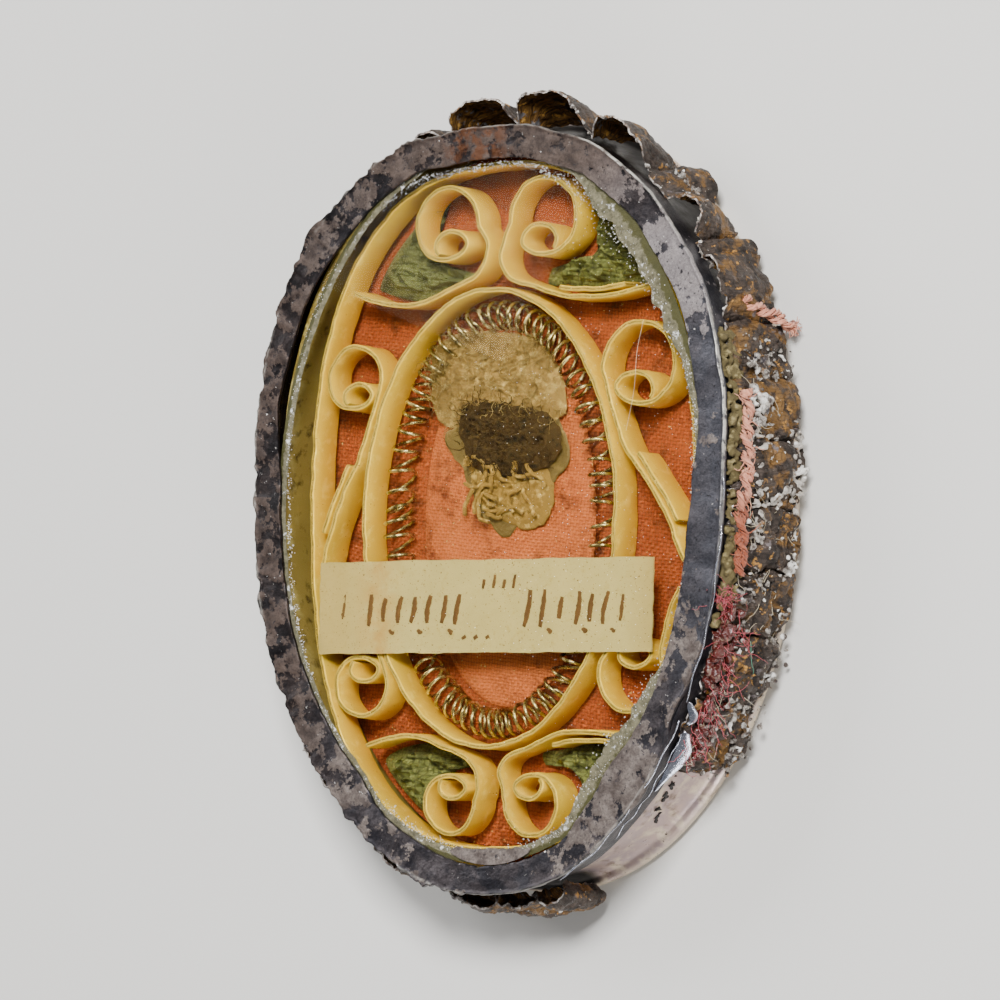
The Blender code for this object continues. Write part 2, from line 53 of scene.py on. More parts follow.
# Sizes read from the frame
WALL_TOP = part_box("case_shell")[1][2]
GROUND_BOTTOM, GROUND_TOP = (corner[2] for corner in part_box("silk_ground"))
STRIP_BOTTOM, STRIP_TOP = (corner[2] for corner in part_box("border_strip"))
GLASS_BOTTOM, GLASS_TOP = (corner[2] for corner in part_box("glass_pane"))
SKIRT_BOTTOM, BEZEL_TOP = (corner[2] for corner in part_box("front_bezel"))
BRAID_BOTTOM, BRAID_TOP = (corner[2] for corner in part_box("pleated_braid"))
MEDALLION_LOW, MEDALLION_HIGH = (Vector(corner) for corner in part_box("medallion_silk"))
MEDALLION_MIDDLE = (MEDALLION_LOW + MEDALLION_HIGH) / 2
MEDALLION_HALF_WIDTH = (MEDALLION_HIGH.x - MEDALLION_LOW.x) / 2
MEDALLION_HALF_HEIGHT = (MEDALLION_HIGH.y - MEDALLION_LOW.y) / 2
LABEL_LOW, LABEL_HIGH = (Vector(corner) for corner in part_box("paper_label"))

# Plain oval of the case, and the bends of its front: (angle, mm outward at the wall's top)
CASE_HALF_WIDTH = 16.1 * MM
CASE_HALF_HEIGHT = 21.05 * MM
CASE_BENDS = [
    (0, -0.2), (15, 0.2), (30, 0.5), (45, 0.3), (60, 0.0), (75, -0.5), (90, -0.75), (100, -0.65),
    (112, -0.1), (125, 0.2), (145, 0.5), (160, 0.3), (180, -0.1), (210, 0.0), (250, 0.0),
    (270, 0.15), (290, 0.3), (310, 0.0), (325, -0.1), (345, -0.2), (360, -0.2),
]
# The bezel's own bends in mm, by angle: outer edge, inner edge, then the film left on it
OUTER_WAVES = [
    (0, 0.0), (130, 0.0), (136, 0.5), (141, 0.1), (200, 0.0), (224, -0.3), (245, -0.1), (253, 0.2),
    (265, 0.0), (300, 0.0), (311, 0.15), (318, -0.1), (325, -0.5), (335, -0.1), (360, 0.0),
]
INNER_WAVES = [
    (0, -0.3), (10, 0.0), (126, 0.0), (150, 0.3), (162, 0.5), (176, 0.1), (200, 0.0), (217, -0.3),
    (231, -0.5), (242, 0.0), (270, 0.25), (290, 0.1), (300, -0.4), (308, -0.7), (325, -0.4),
    (352, -0.5), (360, -0.3),
]
FILM_LEFT = [
    (0, -0.35), (20, -0.3), (30, 0.3), (42, 0.35), (50, -0.5), (54, 0.3), (75, 0.25), (95, 0.2),
    (130, 0.1), (180, 0.05), (230, 0.0), (255, -0.4), (285, -0.35), (300, 0.1), (312, 0.45),
    (322, -0.2), (335, 0.05), (345, -0.4), (352, -0.6), (360, -0.35),
]
# Width in mm of the band of dust and painted reflection on the glass beside the bezel, by angle
GRIME_WIDTHS = [
    (0, 0.3), (18, 0.4), (30, 1.0), (55, 1.2), (68, 0.5), (80, 0.3), (200, 0.25), (290, 0.4),
    (305, 1.2), (320, 1.0), (335, 0.4), (360, 0.3),
]
# Numbers of grains, and a fine hair at the upper right: (x, y) in mm
DUST_BY_BEZEL = 2600
DUST_ON_GLASS = 900
HAIR_ON_GLASS = [(10.4, 9.1), (10.0, 7.5), (9.8, 5.4), (9.3, 3.3)]
# Black crusty line on the bare wall at the lower right: (angle, height in mm)
BLACK_SPECKS = [(-47.4, 3.67), (-50.7, 3.39), (-54.3, 3.08), (-58.1, 2.22)]

# Stretches of angle: wall without braid, crumbled left edge and right edge of the bezel, where a
# painted highlight is added to the rim's wear
BARE_WALL = (-76, -46)
CRUMBLED_EDGE = (110, 262)
RIM_HIGHLIGHT_STRETCH = (8, 62)
# Torn foil: course (angle, mm outside the case, height in mm) and its breadths in mm
TORN_LEAVES = [
    ([(-37.0, 0.05, 6.0), (-39.4, 0.15, 5.7), (-42.0, 0.1, 5.6), (-45.0, 0.0, 5.7),
      (-48.5, -0.1, 5.8)], [0.35, 0.95, 0.75, 0.4, 0.08]),
    ([(-31.8, 0.1, 6.9), (-33.2, 0.3, 6.5), (-34.6, 0.25, 6.2), (-35.6, 0.1, 6.3)],
     [0.15, 0.6, 0.5, 0.1]),
]
# Bare edges of the skirt: first and last angle, mm outside the case, height in mm
BARE_EDGES = [(-35.0, -71.0, 0.08, 7.08), (-37.0, -58.0, 0.22, 6.6), (2.0, -32.0, -0.02, 7.02)]

# Sheet metal and glass
CASE_SLICES = 300
BEZEL_SLICES = 900
GLASS_SLICES = 240
BACK_THICKNESS = 0.5 * MM
BACK_RIM_HEIGHT = 0.7 * MM
WALL_INSET = 0.8 * MM
WALL_THICKNESS = 0.45 * MM
INSIDE_INSET = WALL_INSET + WALL_THICKNESS
BEZEL_FACE_WIDTH = 1.8 * MM
BEZEL_THICKNESS = 0.35 * MM
FIT_GAP = 0.1 * MM

# Paper strips on edge
STRIP_THICKNESS = 0.3 * MM
PAPER_THICKNESS = 0.26 * MM
STRIP_PITCH = STRIP_THICKNESS + 1.5 * FIT_GAP
STRIP_STEP = 0.22 * MM
STRIP_ROWS = 6
PLOT_STEPS = 8
MEDALLION_STRIP_HALF_WIDTH = 8.6 * MM
MEDALLION_STRIP_HALF_HEIGHT = 12.4 * MM
BORDER_SIDE_GAP = 1.8 * MM
BORDER_END_GAP = 1.3 * MM
BORDER_MIDDLE = (0.15 * MM, -0.7 * MM)
BORDER_SQUARENESS = 2.45
BORDER_LEAN = 0.03
BORDER_LEAN_ANGLE = 130.0
SCROLL_TURNS = 1.6
CURL_WIDTH_SHARE = 0.62
CURL_HEIGHT_SHARE = 0.4

# Eight scrolls: node, middle (angle round the medallion, share of the way out to the
# border), radius as a share of the room there, angle at which the strip leaves the scroll,
# winding, and the tail's points (angle, share)
SCROLLS = [
    ("scroll_top_left", (105, 0.6), 0.93, 0, 1,
     [(91.9, 0.36), (92.6, 0.18), (97, 0.05), (108, 0.04), (121, 0.15), (133, 0.5), (141, 0.95)]),
    ("scroll_top_right", (77, 0.6), 0.93, 180, -1,
     [(87.5, 0.4), (87.2, 0.2), (82, 0.05), (71, 0.04), (58, 0.15), (46, 0.5), (38, 0.95)]),
    ("scroll_upper_left", (153, 0.48), 0.98, 0, 1,
     [(164, 0.08), (173, 0.3), (181, 0.7), (186.5, 0.96)]),
    ("scroll_upper_right", (27, 0.48), 0.93, 180, -1,
     [(16, 0.08), (7, 0.3), (-1, 0.7), (-6.5, 0.96)]),
    ("scroll_lower_left", (213, 0.48), 0.98, 0, -1,
     [(204, 0.1), (199, 0.35), (195, 0.7), (192.5, 0.96)]),
    ("scroll_lower_right", (-32, 0.48), 0.86, 0, -1,
     [(-23, 0.8), (-16, 0.82), (-10.5, 0.93)]),
    ("scroll_bottom_left", (256.5, 0.6), 0.93, 0, -1,
     [(265.8, 0.4), (265.6, 0.2), (261, 0.05), (251, 0.05), (240, 0.14), (230, 0.45), (223, 0.82)]),
    ("scroll_bottom_right", (280.5, 0.6), 0.93, 180, 1,
     [(273.2, 0.4), (273.4, 0.2), (278, 0.05), (289, 0.05), (300, 0.14), (310, 0.45), (317, 0.82)]),
]

# Short strips beside a tail: node, scroll, first and last share of its tail, side
FILLERS = [
    ("filler_strip_right", "scroll_upper_right", 0.45, 0.8, 1),
    ("filler_strip_left", "scroll_upper_left", 0.45, 0.8, -1),
    ("filler_strip_top", "scroll_top_right", 0.5, 0.85, 1),
    ("filler_strip_bottom", "scroll_bottom_right", 0.5, 0.85, -1),
]

# Green silk: node and outline (angle, share of the way out to the border)
PATCHES = [
    ("green_silk_upper_left",
     [(104, 0.1), (113, 0.13), (123, 0.25), (131, 0.5), (138, 0.85), (139, 0.98), (130, 0.99),
      (118, 0.99), (108, 0.9)]),
    ("green_silk_upper_right",
     [(76, 0.1), (67, 0.13), (57, 0.25), (49, 0.5), (42, 0.85), (41, 0.98), (50, 0.99), (62, 0.99),
      (72, 0.9)]),
    ("green_silk_lower_left",
     [(257, 0.1), (248, 0.13), (239, 0.24), (232, 0.45), (226, 0.75), (224, 0.98), (232, 0.99),
      (243, 0.99), (253, 0.85)]),
    ("green_silk_lower_right",
     [(283, 0.1), (292, 0.13), (301, 0.24), (308, 0.45), (314, 0.75), (316, 0.98), (308, 0.99),
      (297, 0.99), (287, 0.85)]),
]

# Relic and scraps on the medallion: numbers of threads, and outlines (x, y) in mm
LUMP_STRANDS = 260
WOOL_STRANDS = 620
CREAM_CURLS = 24
LEAF_OUTLINE = [(-5.0, 3.8), (-1.5, 5.0), (1.9, 5.2), (3.6, 2.4), (1.9, 0.6), (0.7, -0.6),
                (-0.6, -1.9), (-1.6, -1.3), (-2.5, -0.6), (-3.8, 1.9)]
WOOL_OUTLINE = [(-5.5, 8.8), (-3.05, 9.4), (0.4, 9.0), (2.65, 7.5), (3.15, 4.55), (-0.9, 4.2),
                (-5.1, 4.4), (-5.95, 6.6)]
LUMP_OUTLINE = [(-3.4, 5.4), (-0.6, 5.6), (2.8, 4.3), (3.0, 2.4), (0.8, 1.4), (-2.3, 1.7),
                (-3.65, 3.5)]
CREAM_OUTLINE = [(-3.1, 2.5), (-0.4, 2.2), (2.2, 1.6), (2.3, -0.8), (0.6, -1.5), (-1.5, -0.7),
                 (-2.9, 0.7)]

# Label and its pen strokes: start as a share of the half label, number of ticks, height in mm
LABEL_HALF_WIDTH = 2.52 * MM
LABEL_TILT = math.radians(-0.8)
TICK_GROUPS = [(-0.86, 1, 2.0), (-0.68, 7, 1.9), (0.27, 2, 2.3), (0.47, 5, 1.9)]

# Coiled wire
COIL_RADIUS = 0.74 * MM
COIL_WIRE_RADIUS = 0.105 * MM
COIL_TURNS = 70
COIL_STEPS = 18

# Pleated braid round the side, from the first of its pleats to the bottom
BRAID_END = 283.0
BRAID_STAND_LOW = 0.2 * MM
BRAID_STAND_HIGH = 1.1 * MM
BRAID_ROWS = 30
BRAID_STEP = 0.16 * MM
BRAID_THICKNESS = 0.1 * MM
# Way out and back of each kind of fold: (share of the fold's length, share of its stand)
FOLD_COURSES = {
    "flat": [(0.0, 0.06), (0.08, 0.3), (0.2, 0.8), (0.45, 1.02), (0.75, 1.08), (1.0, 0.98),
             (1.08, 0.7), (1.0, 0.42), (0.9, 0.22), (0.9, 0.08)],
    "hollow": [(0.0, 0.06), (0.06, 0.4), (0.18, 0.85), (0.5, 1.06), (0.82, 0.9), (0.94, 0.45)],
    "fan": [(0.0, 0.4), (0.3, 0.62), (0.7, 0.6)],
}
# Folds from the lower right round the top: start and stop angle, stand in mm, kind
PLEATS = [
    (-44.0, -33.0, 0.7, "flat"), (-33.0, -22.0, 0.75, "flat"), (-22.0, -12.0, 0.7, "flat"),
    (-12.0, -3.0, 0.85, "flat"), (-3.0, 6.0, 0.95, "flat"), (6.0, 15.0, 0.85, "flat"),
    (15.0, 24.0, 0.7, "flat"), (24.0, 35.0, 0.75, "flat"), (35.0, 39.5, 1.0, "fan"),
    (39.5, 47.0, 0.85, "hollow"), (47.0, 56.0, 1.1, "fan"), (56.0, 71.0, 0.95, "hollow"),
    (71.0, 89.0, 1.05, "hollow"), (89.0, 106.0, 0.95, "hollow"),
]
# By angle: lean outward, height of the upper edge and how far it curls in (mm), crush, beads
BRAID_FLARE = [
    (0, 0.0), (24, 0.1), (34, 0.1), (36, -0.85), (39, -0.85), (41, 0.65), (46, 0.65), (49, -0.9),
    (54, -0.9), (58, 0.65), (69, 0.65), (71, 0.0), (73, 0.65), (87, 0.65), (89, 0.0), (91, 0.65),
    (104, 0.65), (107, 0.0), (316, 0.0), (330, -0.1), (360, 0.0),
]
BRAID_TOPS = [(0, 5.9), (25, 5.6), (40, 5.3), (60, 5.3), (110, 5.3), (180, 5.2), (283, 5.0),
              (316, 5.6), (335, 5.9), (360, 5.9)]
BRAID_TUCK = [(0, 0.9), (22, 0.6), (32, 0.0), (283, 0.0), (320, 0.7), (345, 0.9), (360, 0.9)]
BRAID_CRUSH = [(0, 1.5), (22, 1.2), (36, 0.4), (110, 0.5), (200, 0.7), (283, 0.8), (320, 1.3),
               (360, 1.5)]
BEADS_ON_EDGE = [(0, 0.3), (30, 0.4), (44, 1.0), (56, 0.5), (60, 0.9), (95, 0.6), (110, 0.2),
                 (283, 0.2), (360, 0.3)]
# Heaps of corrosion: angle, height, spread of both, mm outside the case, grains, their size
CRUST_HEAPS = [
    (2.5, 3.2, 2.6, 1.0, 0.72, 260, 0.19), (11.5, 4.5, 1.4, 0.4, 0.72, 80, 0.2),
    (-14.0, 4.0, 1.2, 0.9, 0.6, 90, 0.15), (-9.8, 2.0, 0.7, 0.3, 0.85, 20, 0.18),
    (-32.0, 3.4, 1.8, 0.5, 0.6, 60, 0.17), (-24.0, 2.2, 2.6, 0.8, 0.6, 110, 0.16),
    (-6.0, 4.6, 1.8, 0.5, 0.65, 70, 0.15), (18.0, 3.5, 1.8, 0.9, 0.6, 90, 0.15),
    (46.5, 4.7, 2.6, 0.3, 1.1, 44, 0.12), (275.0, 3.0, 1.4, 0.8, 0.9, 40, 0.2),
    (210.0, 4.0, 1.0, 0.5, 1.0, 18, 0.15), (-39.0, 2.0, 2.0, 0.6, 0.55, 60, 0.15),
]

# Crust, putty, wax and cord in the groove
FINE_CRUST_GRAINS = 1500
PUTTY_LUMPS = 620
WAX_LUMPS = 260
CORD_PLY_RADIUS = 0.2 * MM
CORD_DIAMETER = 0.75 * MM
CORD_TWIST = 1 / (2.2 * MM)
CORD_FILAMENTS = 15
CORD_START = -12.0
CORD_STOP = 14.0
CORD_END_ANGLE = 26.0
CORD_END_LENGTH = 2.4 * MM

# Camera at the photograph's view
CAMERA_TURN = math.radians(37.941)
CAMERA_DROP = math.radians(-3.787)
CAMERA_ROLL = math.radians(0.43)
CAMERA_DISTANCE = 0.3199
CAMERA_AIM = Vector((0.0, 0.0, 0.003))
CAMERA_ASIDE = -0.0015647
CAMERA_UP = 0.0001603
CAMERA_LENS = 212.37

# Studio: lamps (name, place, size, power), the air's brightness and the floor
LAMPS = [
    ("key_lamp", (0.22, 0.16, 0.4), 0.12, 4.6), ("side_lamp", (-0.3, 0.2, 0.3), 0.25, 1.2),
    ("low_lamp", (0.25, -0.35, 0.12), 0.2, 1.1),
]
AIR_BRIGHTNESS = 0.27
FLOOR_SIZE = 4.0


def stand_clear():
    """Leave edit mode and let nothing stay selected."""
    if bpy.context.object and bpy.context.object.mode != "OBJECT":
        bpy.ops.object.mode_set(mode="OBJECT")
    bpy.ops.object.select_all(action="DESELECT")


def pick(piece):
    stand_clear()
    piece.select_set(True)
    bpy.context.view_layer.objects.active = piece


def name_piece(piece, name):
    piece.name = name
    piece.data.name = name
    return piece


def lay_grid(name, columns, rows, place, uv_size=(1.0, 1.0)):
    """Add a grid and shape it: place(column, row) gives each point."""
    stand_clear()
    bpy.ops.mesh.primitive_grid_add(x_subdivisions=columns, y_subdivisions=rows, size=1.0)
    piece = name_piece(bpy.context.object, name)
    for vert in piece.data.vertices:
        column = round((vert.co.x + 0.5) * columns)
        row = round((vert.co.y + 0.5) * rows)
        vert.co = place(column, row)
    for spot in piece.data.uv_layers.active.data:
        spot.uv = (spot.uv[0] * uv_size[0], spot.uv[1] * uv_size[1])
    return piece


def weld(piece, distance=1e-6):
    """Close seams and poles, and turn the faces outward."""
    pick(piece)
    bpy.ops.object.mode_set(mode="EDIT")
    bpy.ops.mesh.select_all(action="SELECT")
    bpy.ops.mesh.remove_doubles(threshold=distance)
    bpy.ops.mesh.dissolve_degenerate(threshold=distance)
    bpy.ops.mesh.normals_make_consistent(inside=False)
    bpy.ops.object.mode_set(mode="OBJECT")
    return piece


def change(piece, kind, **settings):
    """Add a modifier and apply it."""
    pick(piece)
    modifier = piece.modifiers.new(kind.title(), kind)
    for key, value in settings.items():
        setattr(modifier, key, value)
    bpy.ops.object.modifier_apply(modifier=modifier.name)
    return piece


def smooth_by_angle(piece, degrees=40.0):
    pick(piece)
    bpy.ops.object.shade_smooth_by_angle(angle=math.radians(degrees))
    return piece


def mark_points(piece, name, values):
    """Keep one number for each point, from a list or a rule by place, for a finish to read."""
    if callable(values):
        values = [values(vert.co) for vert in piece.data.vertices]
    piece.data.attributes.new(name, "FLOAT", "POINT").data.foreach_set("value", values)


def join(name, parts):
    stand_clear()
    for part in parts:
        part.select_set(True)
    bpy.context.view_layer.objects.active = parts[0]
    bpy.ops.object.join()
    return name_piece(bpy.context.object, name)


def fit_out(piece, slot, *finishes, replaces=()):
    """Give a finished piece its materials and tie it to the frame."""
    if len(piece.data.materials) < len(finishes):
        piece.data.materials.clear()
        for finish in finishes:
            piece.data.materials.append(finish)
    else:
        for index, finish in enumerate(finishes):
            piece.data.materials[index] = finish
    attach(piece, "root")
    if replaces:
        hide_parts(*replaces)
    return piece


def tubes(name, paths, radius, sides=6, closed=False):
    """Round wires or threads along paths; a path's point may carry its own share of the radius."""
    stand_clear()
    curve = bpy.data.curves.new(name, "CURVE")
    curve.dimensions = "3D"
    curve.bevel_depth = radius
    curve.bevel_resolution = max(0, sides // 2 - 2)
    curve.use_fill_caps = not closed
    for path in paths:
        spline = curve.splines.new("POLY")
        spline.points.add(len(path) - 1)
        spline.use_cyclic_u = closed
        for point, place in zip(spline.points, path):
            point.co = (place[0], place[1], place[2], 1.0)
            point.radius = place[3] if len(place) > 3 else 1.0
    piece = bpy.data.objects.new(name, curve)
    bpy.context.scene.collection.objects.link(piece)
    pick(piece)
    bpy.ops.object.convert(target="MESH")
    piece = bpy.context.object
    weld(piece, 1e-8)
    bpy.ops.object.shade_smooth()
    return name_piece(piece, name)


def ease(value):
    value = min(1.0, max(0.0, value))
    return value * value * (3 - 2 * value)


def window(angle, start, stop, soft):
    """1 between two angles, easing to 0 over the soft width outside them."""
    middle = (start + stop) / 2
    away = abs((angle - middle + 180.0) % 360.0 - 180.0) - abs(stop - start) / 2
    return 1.0 - ease(away / soft)


def share_between(first, second, share):
    return first + (second - first) * share


def along_table(table, angle):
    """Value of an (angle, value) table at an angle, eased between its places."""
    angle %= 360.0
    for (start, first), (stop, second) in zip(table, table[1:]):
        if start <= angle <= stop:
            return share_between(first, second, ease((angle - start) / (stop - start)))


def wander(place, size, octaves=3):
    """Smooth noise from about -1 to 1 with features of the given size."""
    return noise.fractal(Vector(place) / size, 1.0, 2.0, octaves)


def wander_vector(place, size):
    return noise.noise_vector(Vector(place) / size)


def toss(rng, *ranges):
    """Direction with each part drawn from its own range."""
    return Vector([rng.uniform(*limits) for limits in ranges])


def jitter(rng, reach):
    """Small shift of up to the reach in mm along each axis."""
    return Vector([rng.uniform(-reach, reach) * MM for _ in range(3)])


def oval(angle, half_width, half_height, centre=(0.0, 0.0), squareness=2.0):
    across = math.cos(math.radians(angle))
    up = math.sin(math.radians(angle))
    x = math.copysign(abs(across) ** (2 / squareness), across) * half_width
    y = math.copysign(abs(up) ** (2 / squareness), up) * half_height
    return Vector((centre[0] + x, centre[1] + y))


def on_case(angle, outset, z):
    """Point at a distance outside the case's outline, with the bends of its front."""
    reach = outset + along_table(CASE_BENDS, angle) * MM * z / WALL_TOP
    place = oval(angle, CASE_HALF_WIDTH + reach, CASE_HALF_HEIGHT + reach)
    return Vector((place.x, place.y, z))


def case_angle(spot):
    """Angle of a place as on_case takes it."""
    return math.degrees(math.atan2(spot[1] / CASE_HALF_HEIGHT, spot[0] / CASE_HALF_WIDTH))


def outward(angle):
    """Level direction straight out of the case's outline."""
    return Vector((math.cos(math.radians(angle)) * CASE_HALF_HEIGHT,
                   math.sin(math.radians(angle)) * CASE_HALF_WIDTH, 0.0)).normalized()


def smooth_path(points, step, closed=False):
    """Even points along a smooth curve through the given ones."""
    if closed:
        ends = [points[-1]] + points + [points[0], points[1]]
    else:
        ends = [points[0] * 2 - points[1]] + points + [points[-1] * 2 - points[-2]]
    path = [points[0].copy()]
    for before, start, end, after in zip(ends, ends[1:], ends[2:], ends[3:]):
        count = max(1, round((end - start).length / step))
        for index in range(1, count + 1):
            t = index / count
            path.append(0.5 * (2 * start + (end - before) * t
                               + (2 * before - 5 * start + 4 * end - after) * t * t
                               + (3 * start - before - 3 * end + after) * t * t * t))
    return path[:-1] if closed else path


def path_length(path):
    return sum((after - before).length for before, after in zip(path, path[1:]))


def sideways(path, index, closed=False):
    """Unit direction across a flat path at one of its points."""
    count = len(path)
    if closed:
        along = path[(index + 1) % count] - path[index - 1]
    else:
        along = path[min(index + 1, count - 1)] - path[max(index - 1, 0)]
    return Vector((-along.y, along.x)).normalized()


def chamfered(profile, reach):
    """Cut each corner of a closed profile by a short length."""
    cut = []
    before, after = profile[-1:] + profile[:-1], profile[1:] + profile[:1]
    for corner, sides in zip(profile, zip(before, after)):
        for other in sides:
            gap = math.dist(corner, other)
            share = min(reach, 0.4 * gap) / gap
            cut.append(tuple(share_between(a, b, share) for a, b in zip(corner, other)))
    return cut


def filled(profile, step):
    """Add points along the long sides of a closed profile."""
    full = []
    for start, end in zip(profile, profile[1:] + profile[:1]):
        count = max(1, round(math.dist(start, end) / step))
        full += [tuple(a + (b - a) * index / count for a, b in zip(start, end))
                 for index in range(count)]
    return full


def softened(profile, cuts):
    """Cut the corners of an open profile so that they turn softly."""
    for _ in range(cuts):
        cut = [tuple(share_between(a, b, share) for a, b in zip(start, end))
               for start, end in zip(profile, profile[1:]) for share in (0.22, 0.78)]
        profile = [profile[0]] + cut + [profile[-1]]
    return profile


def colour(red, green, blue):
    """Colour as seen on screen, 0 to 255, as the linear one that a shader takes."""
    def linear(value):
        share = value / 255
        return share / 12.92 if share <= 0.04045 else ((share + 0.055) / 1.055) ** 2.4
    return (linear(red), linear(green), linear(blue), 1.0)


class Finish:
    """One material, laid in tones over textures on the piece's own coordinates, sizes in mm."""

    def __init__(self, name, **sockets):
        self.material = bpy.data.materials.new(name)
        self.material.use_nodes = True
        self.tree = self.material.node_tree
        self.shader = self.tree.nodes["Principled BSDF"]
        for socket, value in sockets.items():
            self.shader.inputs[socket.replace("_", " ")].default_value = value
        places = self.tree.nodes.new("ShaderNodeTexCoord")
        self.spot = places.outputs["Object"]
        self.uv = places.outputs["UV"]

    def add(self, kind, feeds, output=0, **settings):
        node = self.tree.nodes.new("ShaderNode" + kind)
        for key, value in settings.items():
            setattr(node, key, value)
        for socket, value in feeds.items():
            if isinstance(value, bpy.types.NodeSocket):
                self.tree.links.new(value, node.inputs[socket])
            else:
                node.inputs[socket].default_value = value
        return node.outputs[output]

    def feed(self, socket, value):
        self.tree.links.new(value, self.shader.inputs[socket])

    def maths(self, operation, first, second=0.0):
        return self.add("Math", {0: first, 1: second}, operation=operation)

    def times(self, first, second):
        return self.maths("MULTIPLY", first, second)

    def grain(self, size, detail=4.0, rough=0.6, twist=0.0, stretch=None, where=None):
        """Noise with features of about the given size."""
        where = where or self.spot
        if stretch:
            where = self.add("Mapping", {"Vector": where, "Scale": stretch})
        feeds = {"Vector": where, "Scale": 1 / (size * MM), "Detail": detail, "Roughness": rough,
                 "Distortion": twist}
        return self.add("TexNoise", feeds)

    def span(self, value, low, high, start=0.0, stop=1.0):
        feeds = {"Value": value, "From Min": low, "From Max": high, "To Min": start, "To Max": stop}
        return self.add("MapRange", feeds)

    def blotch(self, size, low, high, **grain):
        return self.span(self.grain(size, **grain), low, high)

    def axis(self, number, where=None):
        return self.add("SeparateXYZ", {0: where or self.spot}, output=number)

    def run(self, number, low, high, start=0.0, stop=1.0):
        """Change from one value to another between two places on an axis."""
        return self.span(self.axis(number), low * MM, high * MM, start, stop)

    def off(self, number, middle):
        """Distance to both sides of a place on an axis."""
        return self.maths("ABSOLUTE", self.maths("SUBTRACT", self.axis(number), middle * MM))

    def blend(self, share, first, second, mode="MIX"):
        """Mix two tones, each a socket, a shader's colour or a screen's three of 0 to 255."""
        first, second = (colour(*tone) if isinstance(tone, tuple) and len(tone) == 3 else tone
                         for tone in (first, second))
        return self.add("Mix", {0: share, 6: first, 7: second}, output=2,
                        data_type="RGBA", blend_type=mode)

    def lay(self, share, tone, mode="MIX"):
        self.tone = self.blend(share, self.tone, tone, mode)

    def patch(self, tone, size, low, high, **grain):
        """Lay a tone over the others in blotches."""
        self.lay(self.blotch(size, low, high, **grain), tone)

    def weave(self, pitch, where, lengthen=1.0):
        """Height of a plain weave, with threads that pass over and under each other."""
        warp, weft = (
            self.maths("SINE", self.times(self.axis(number, where), math.pi / (pitch * MM * longer)))
            for number, longer in ((0, 1.0), (1, lengthen)))
        over = self.maths("GREATER_THAN", self.times(warp, weft))
        return self.add("Mix", {0: over, 2: self.maths("ABSOLUTE", warp),
                                3: self.maths("ABSOLUTE", weft)}, data_type="FLOAT")

    def mark(self, name):
        """One of the numbers kept for the points of a piece."""
        return self.add("Attribute", {}, output=2, attribute_name=name)

    def done(self, *reliefs):
        """Paint the tone over bumps, the lowest first: height, depth in mm and strength."""
        self.feed("Base Color", self.tone)
        below = {}
        for height, depth, strength in reliefs:
            feeds = {"Height": height, "Distance": depth * MM, "Strength": strength, **below}
            below = {"Normal": self.add("Bump", feeds)}
        if reliefs:
            self.feed("Normal", below["Normal"])
        return self.material


def tarnished_silver():
    """Bezel: lilac-grey film over blue-black tarnish, rusty at the top, bare at its rim, with painted
    glare on the film and a painted highlight on the rim at the upper right.
    """
    f = Finish("tarnished_silver")
    ragged = f.span(f.grain(0.2, detail=5.0, rough=0.7), 0.3, 0.7, -0.26, 0.26)
    film = f.span(f.maths("ADD", f.mark("film"), ragged), -0.04, 0.05)
    dark = f.blend(f.blotch(1.3, 0.42, 0.6, twist=0.4), (40, 38, 44), (72, 66, 68))
    dark = f.blend(f.run(0, 12.0, 15.0, 0.0, 0.6), dark, (84, 85, 93))
    light = f.blend(f.blotch(0.8, 0.38, 0.62, detail=6.0), (84, 73, 68), (130, 119, 112))
    # Film paler at the upper right: painted glare.
    upper = f.times(f.run(0, 6.0, 11.0), f.run(1, 2.0, 8.0))
    light = f.blend(f.times(upper, 0.6), light, (164, 157, 158))
    f.tone = f.blend(film, dark, light)
    fine = f.grain(0.14, detail=5.0, rough=0.75)
    f.lay(f.span(fine, 0.35, 0.65, 0.0, 0.55), (86, 76, 78), "MULTIPLY")
    top = f.times(f.run(1, 17.6, 18.4), f.span(f.off(0, -0.6), 1.2 * MM, 2.6 * MM, 1.0, 0.0))
    f.lay(f.times(top, f.blotch(0.7, 0.44, 0.56, detail=5.0)), (116, 76, 46))
    f.lay(f.run(0, -13.0, -8.0, 0.8, 0.0), (150, 126, 112), "MULTIPLY")
    f.lay(f.run(1, 13.0, 18.0, 0.0, 0.75), (158, 134, 118), "MULTIPLY")
    f.patch((34, 31, 34), 0.25, 0.6, 0.7, detail=4.0)
    f.patch((205, 201, 196), 0.34, 0.68, 0.74, detail=3.0, rough=0.75)
    # Pale rim: bare metal from wear, with a painted highlight added along the right edge.
    f.lay(f.times(f.mark("rim_wear_and_highlight"), f.blotch(0.5, 0.36, 0.5)), (206, 202, 192))
    f.feed("Roughness", f.span(film, 0.0, 1.0, 0.36, 0.58))
    f.feed("Metallic", f.span(film, 0.0, 1.0, 0.65, 0.4))
    return f.done((f.grain(0.5), 0.04, 0.6), (f.grain(0.1, detail=4.0), 0.02, 0.8))


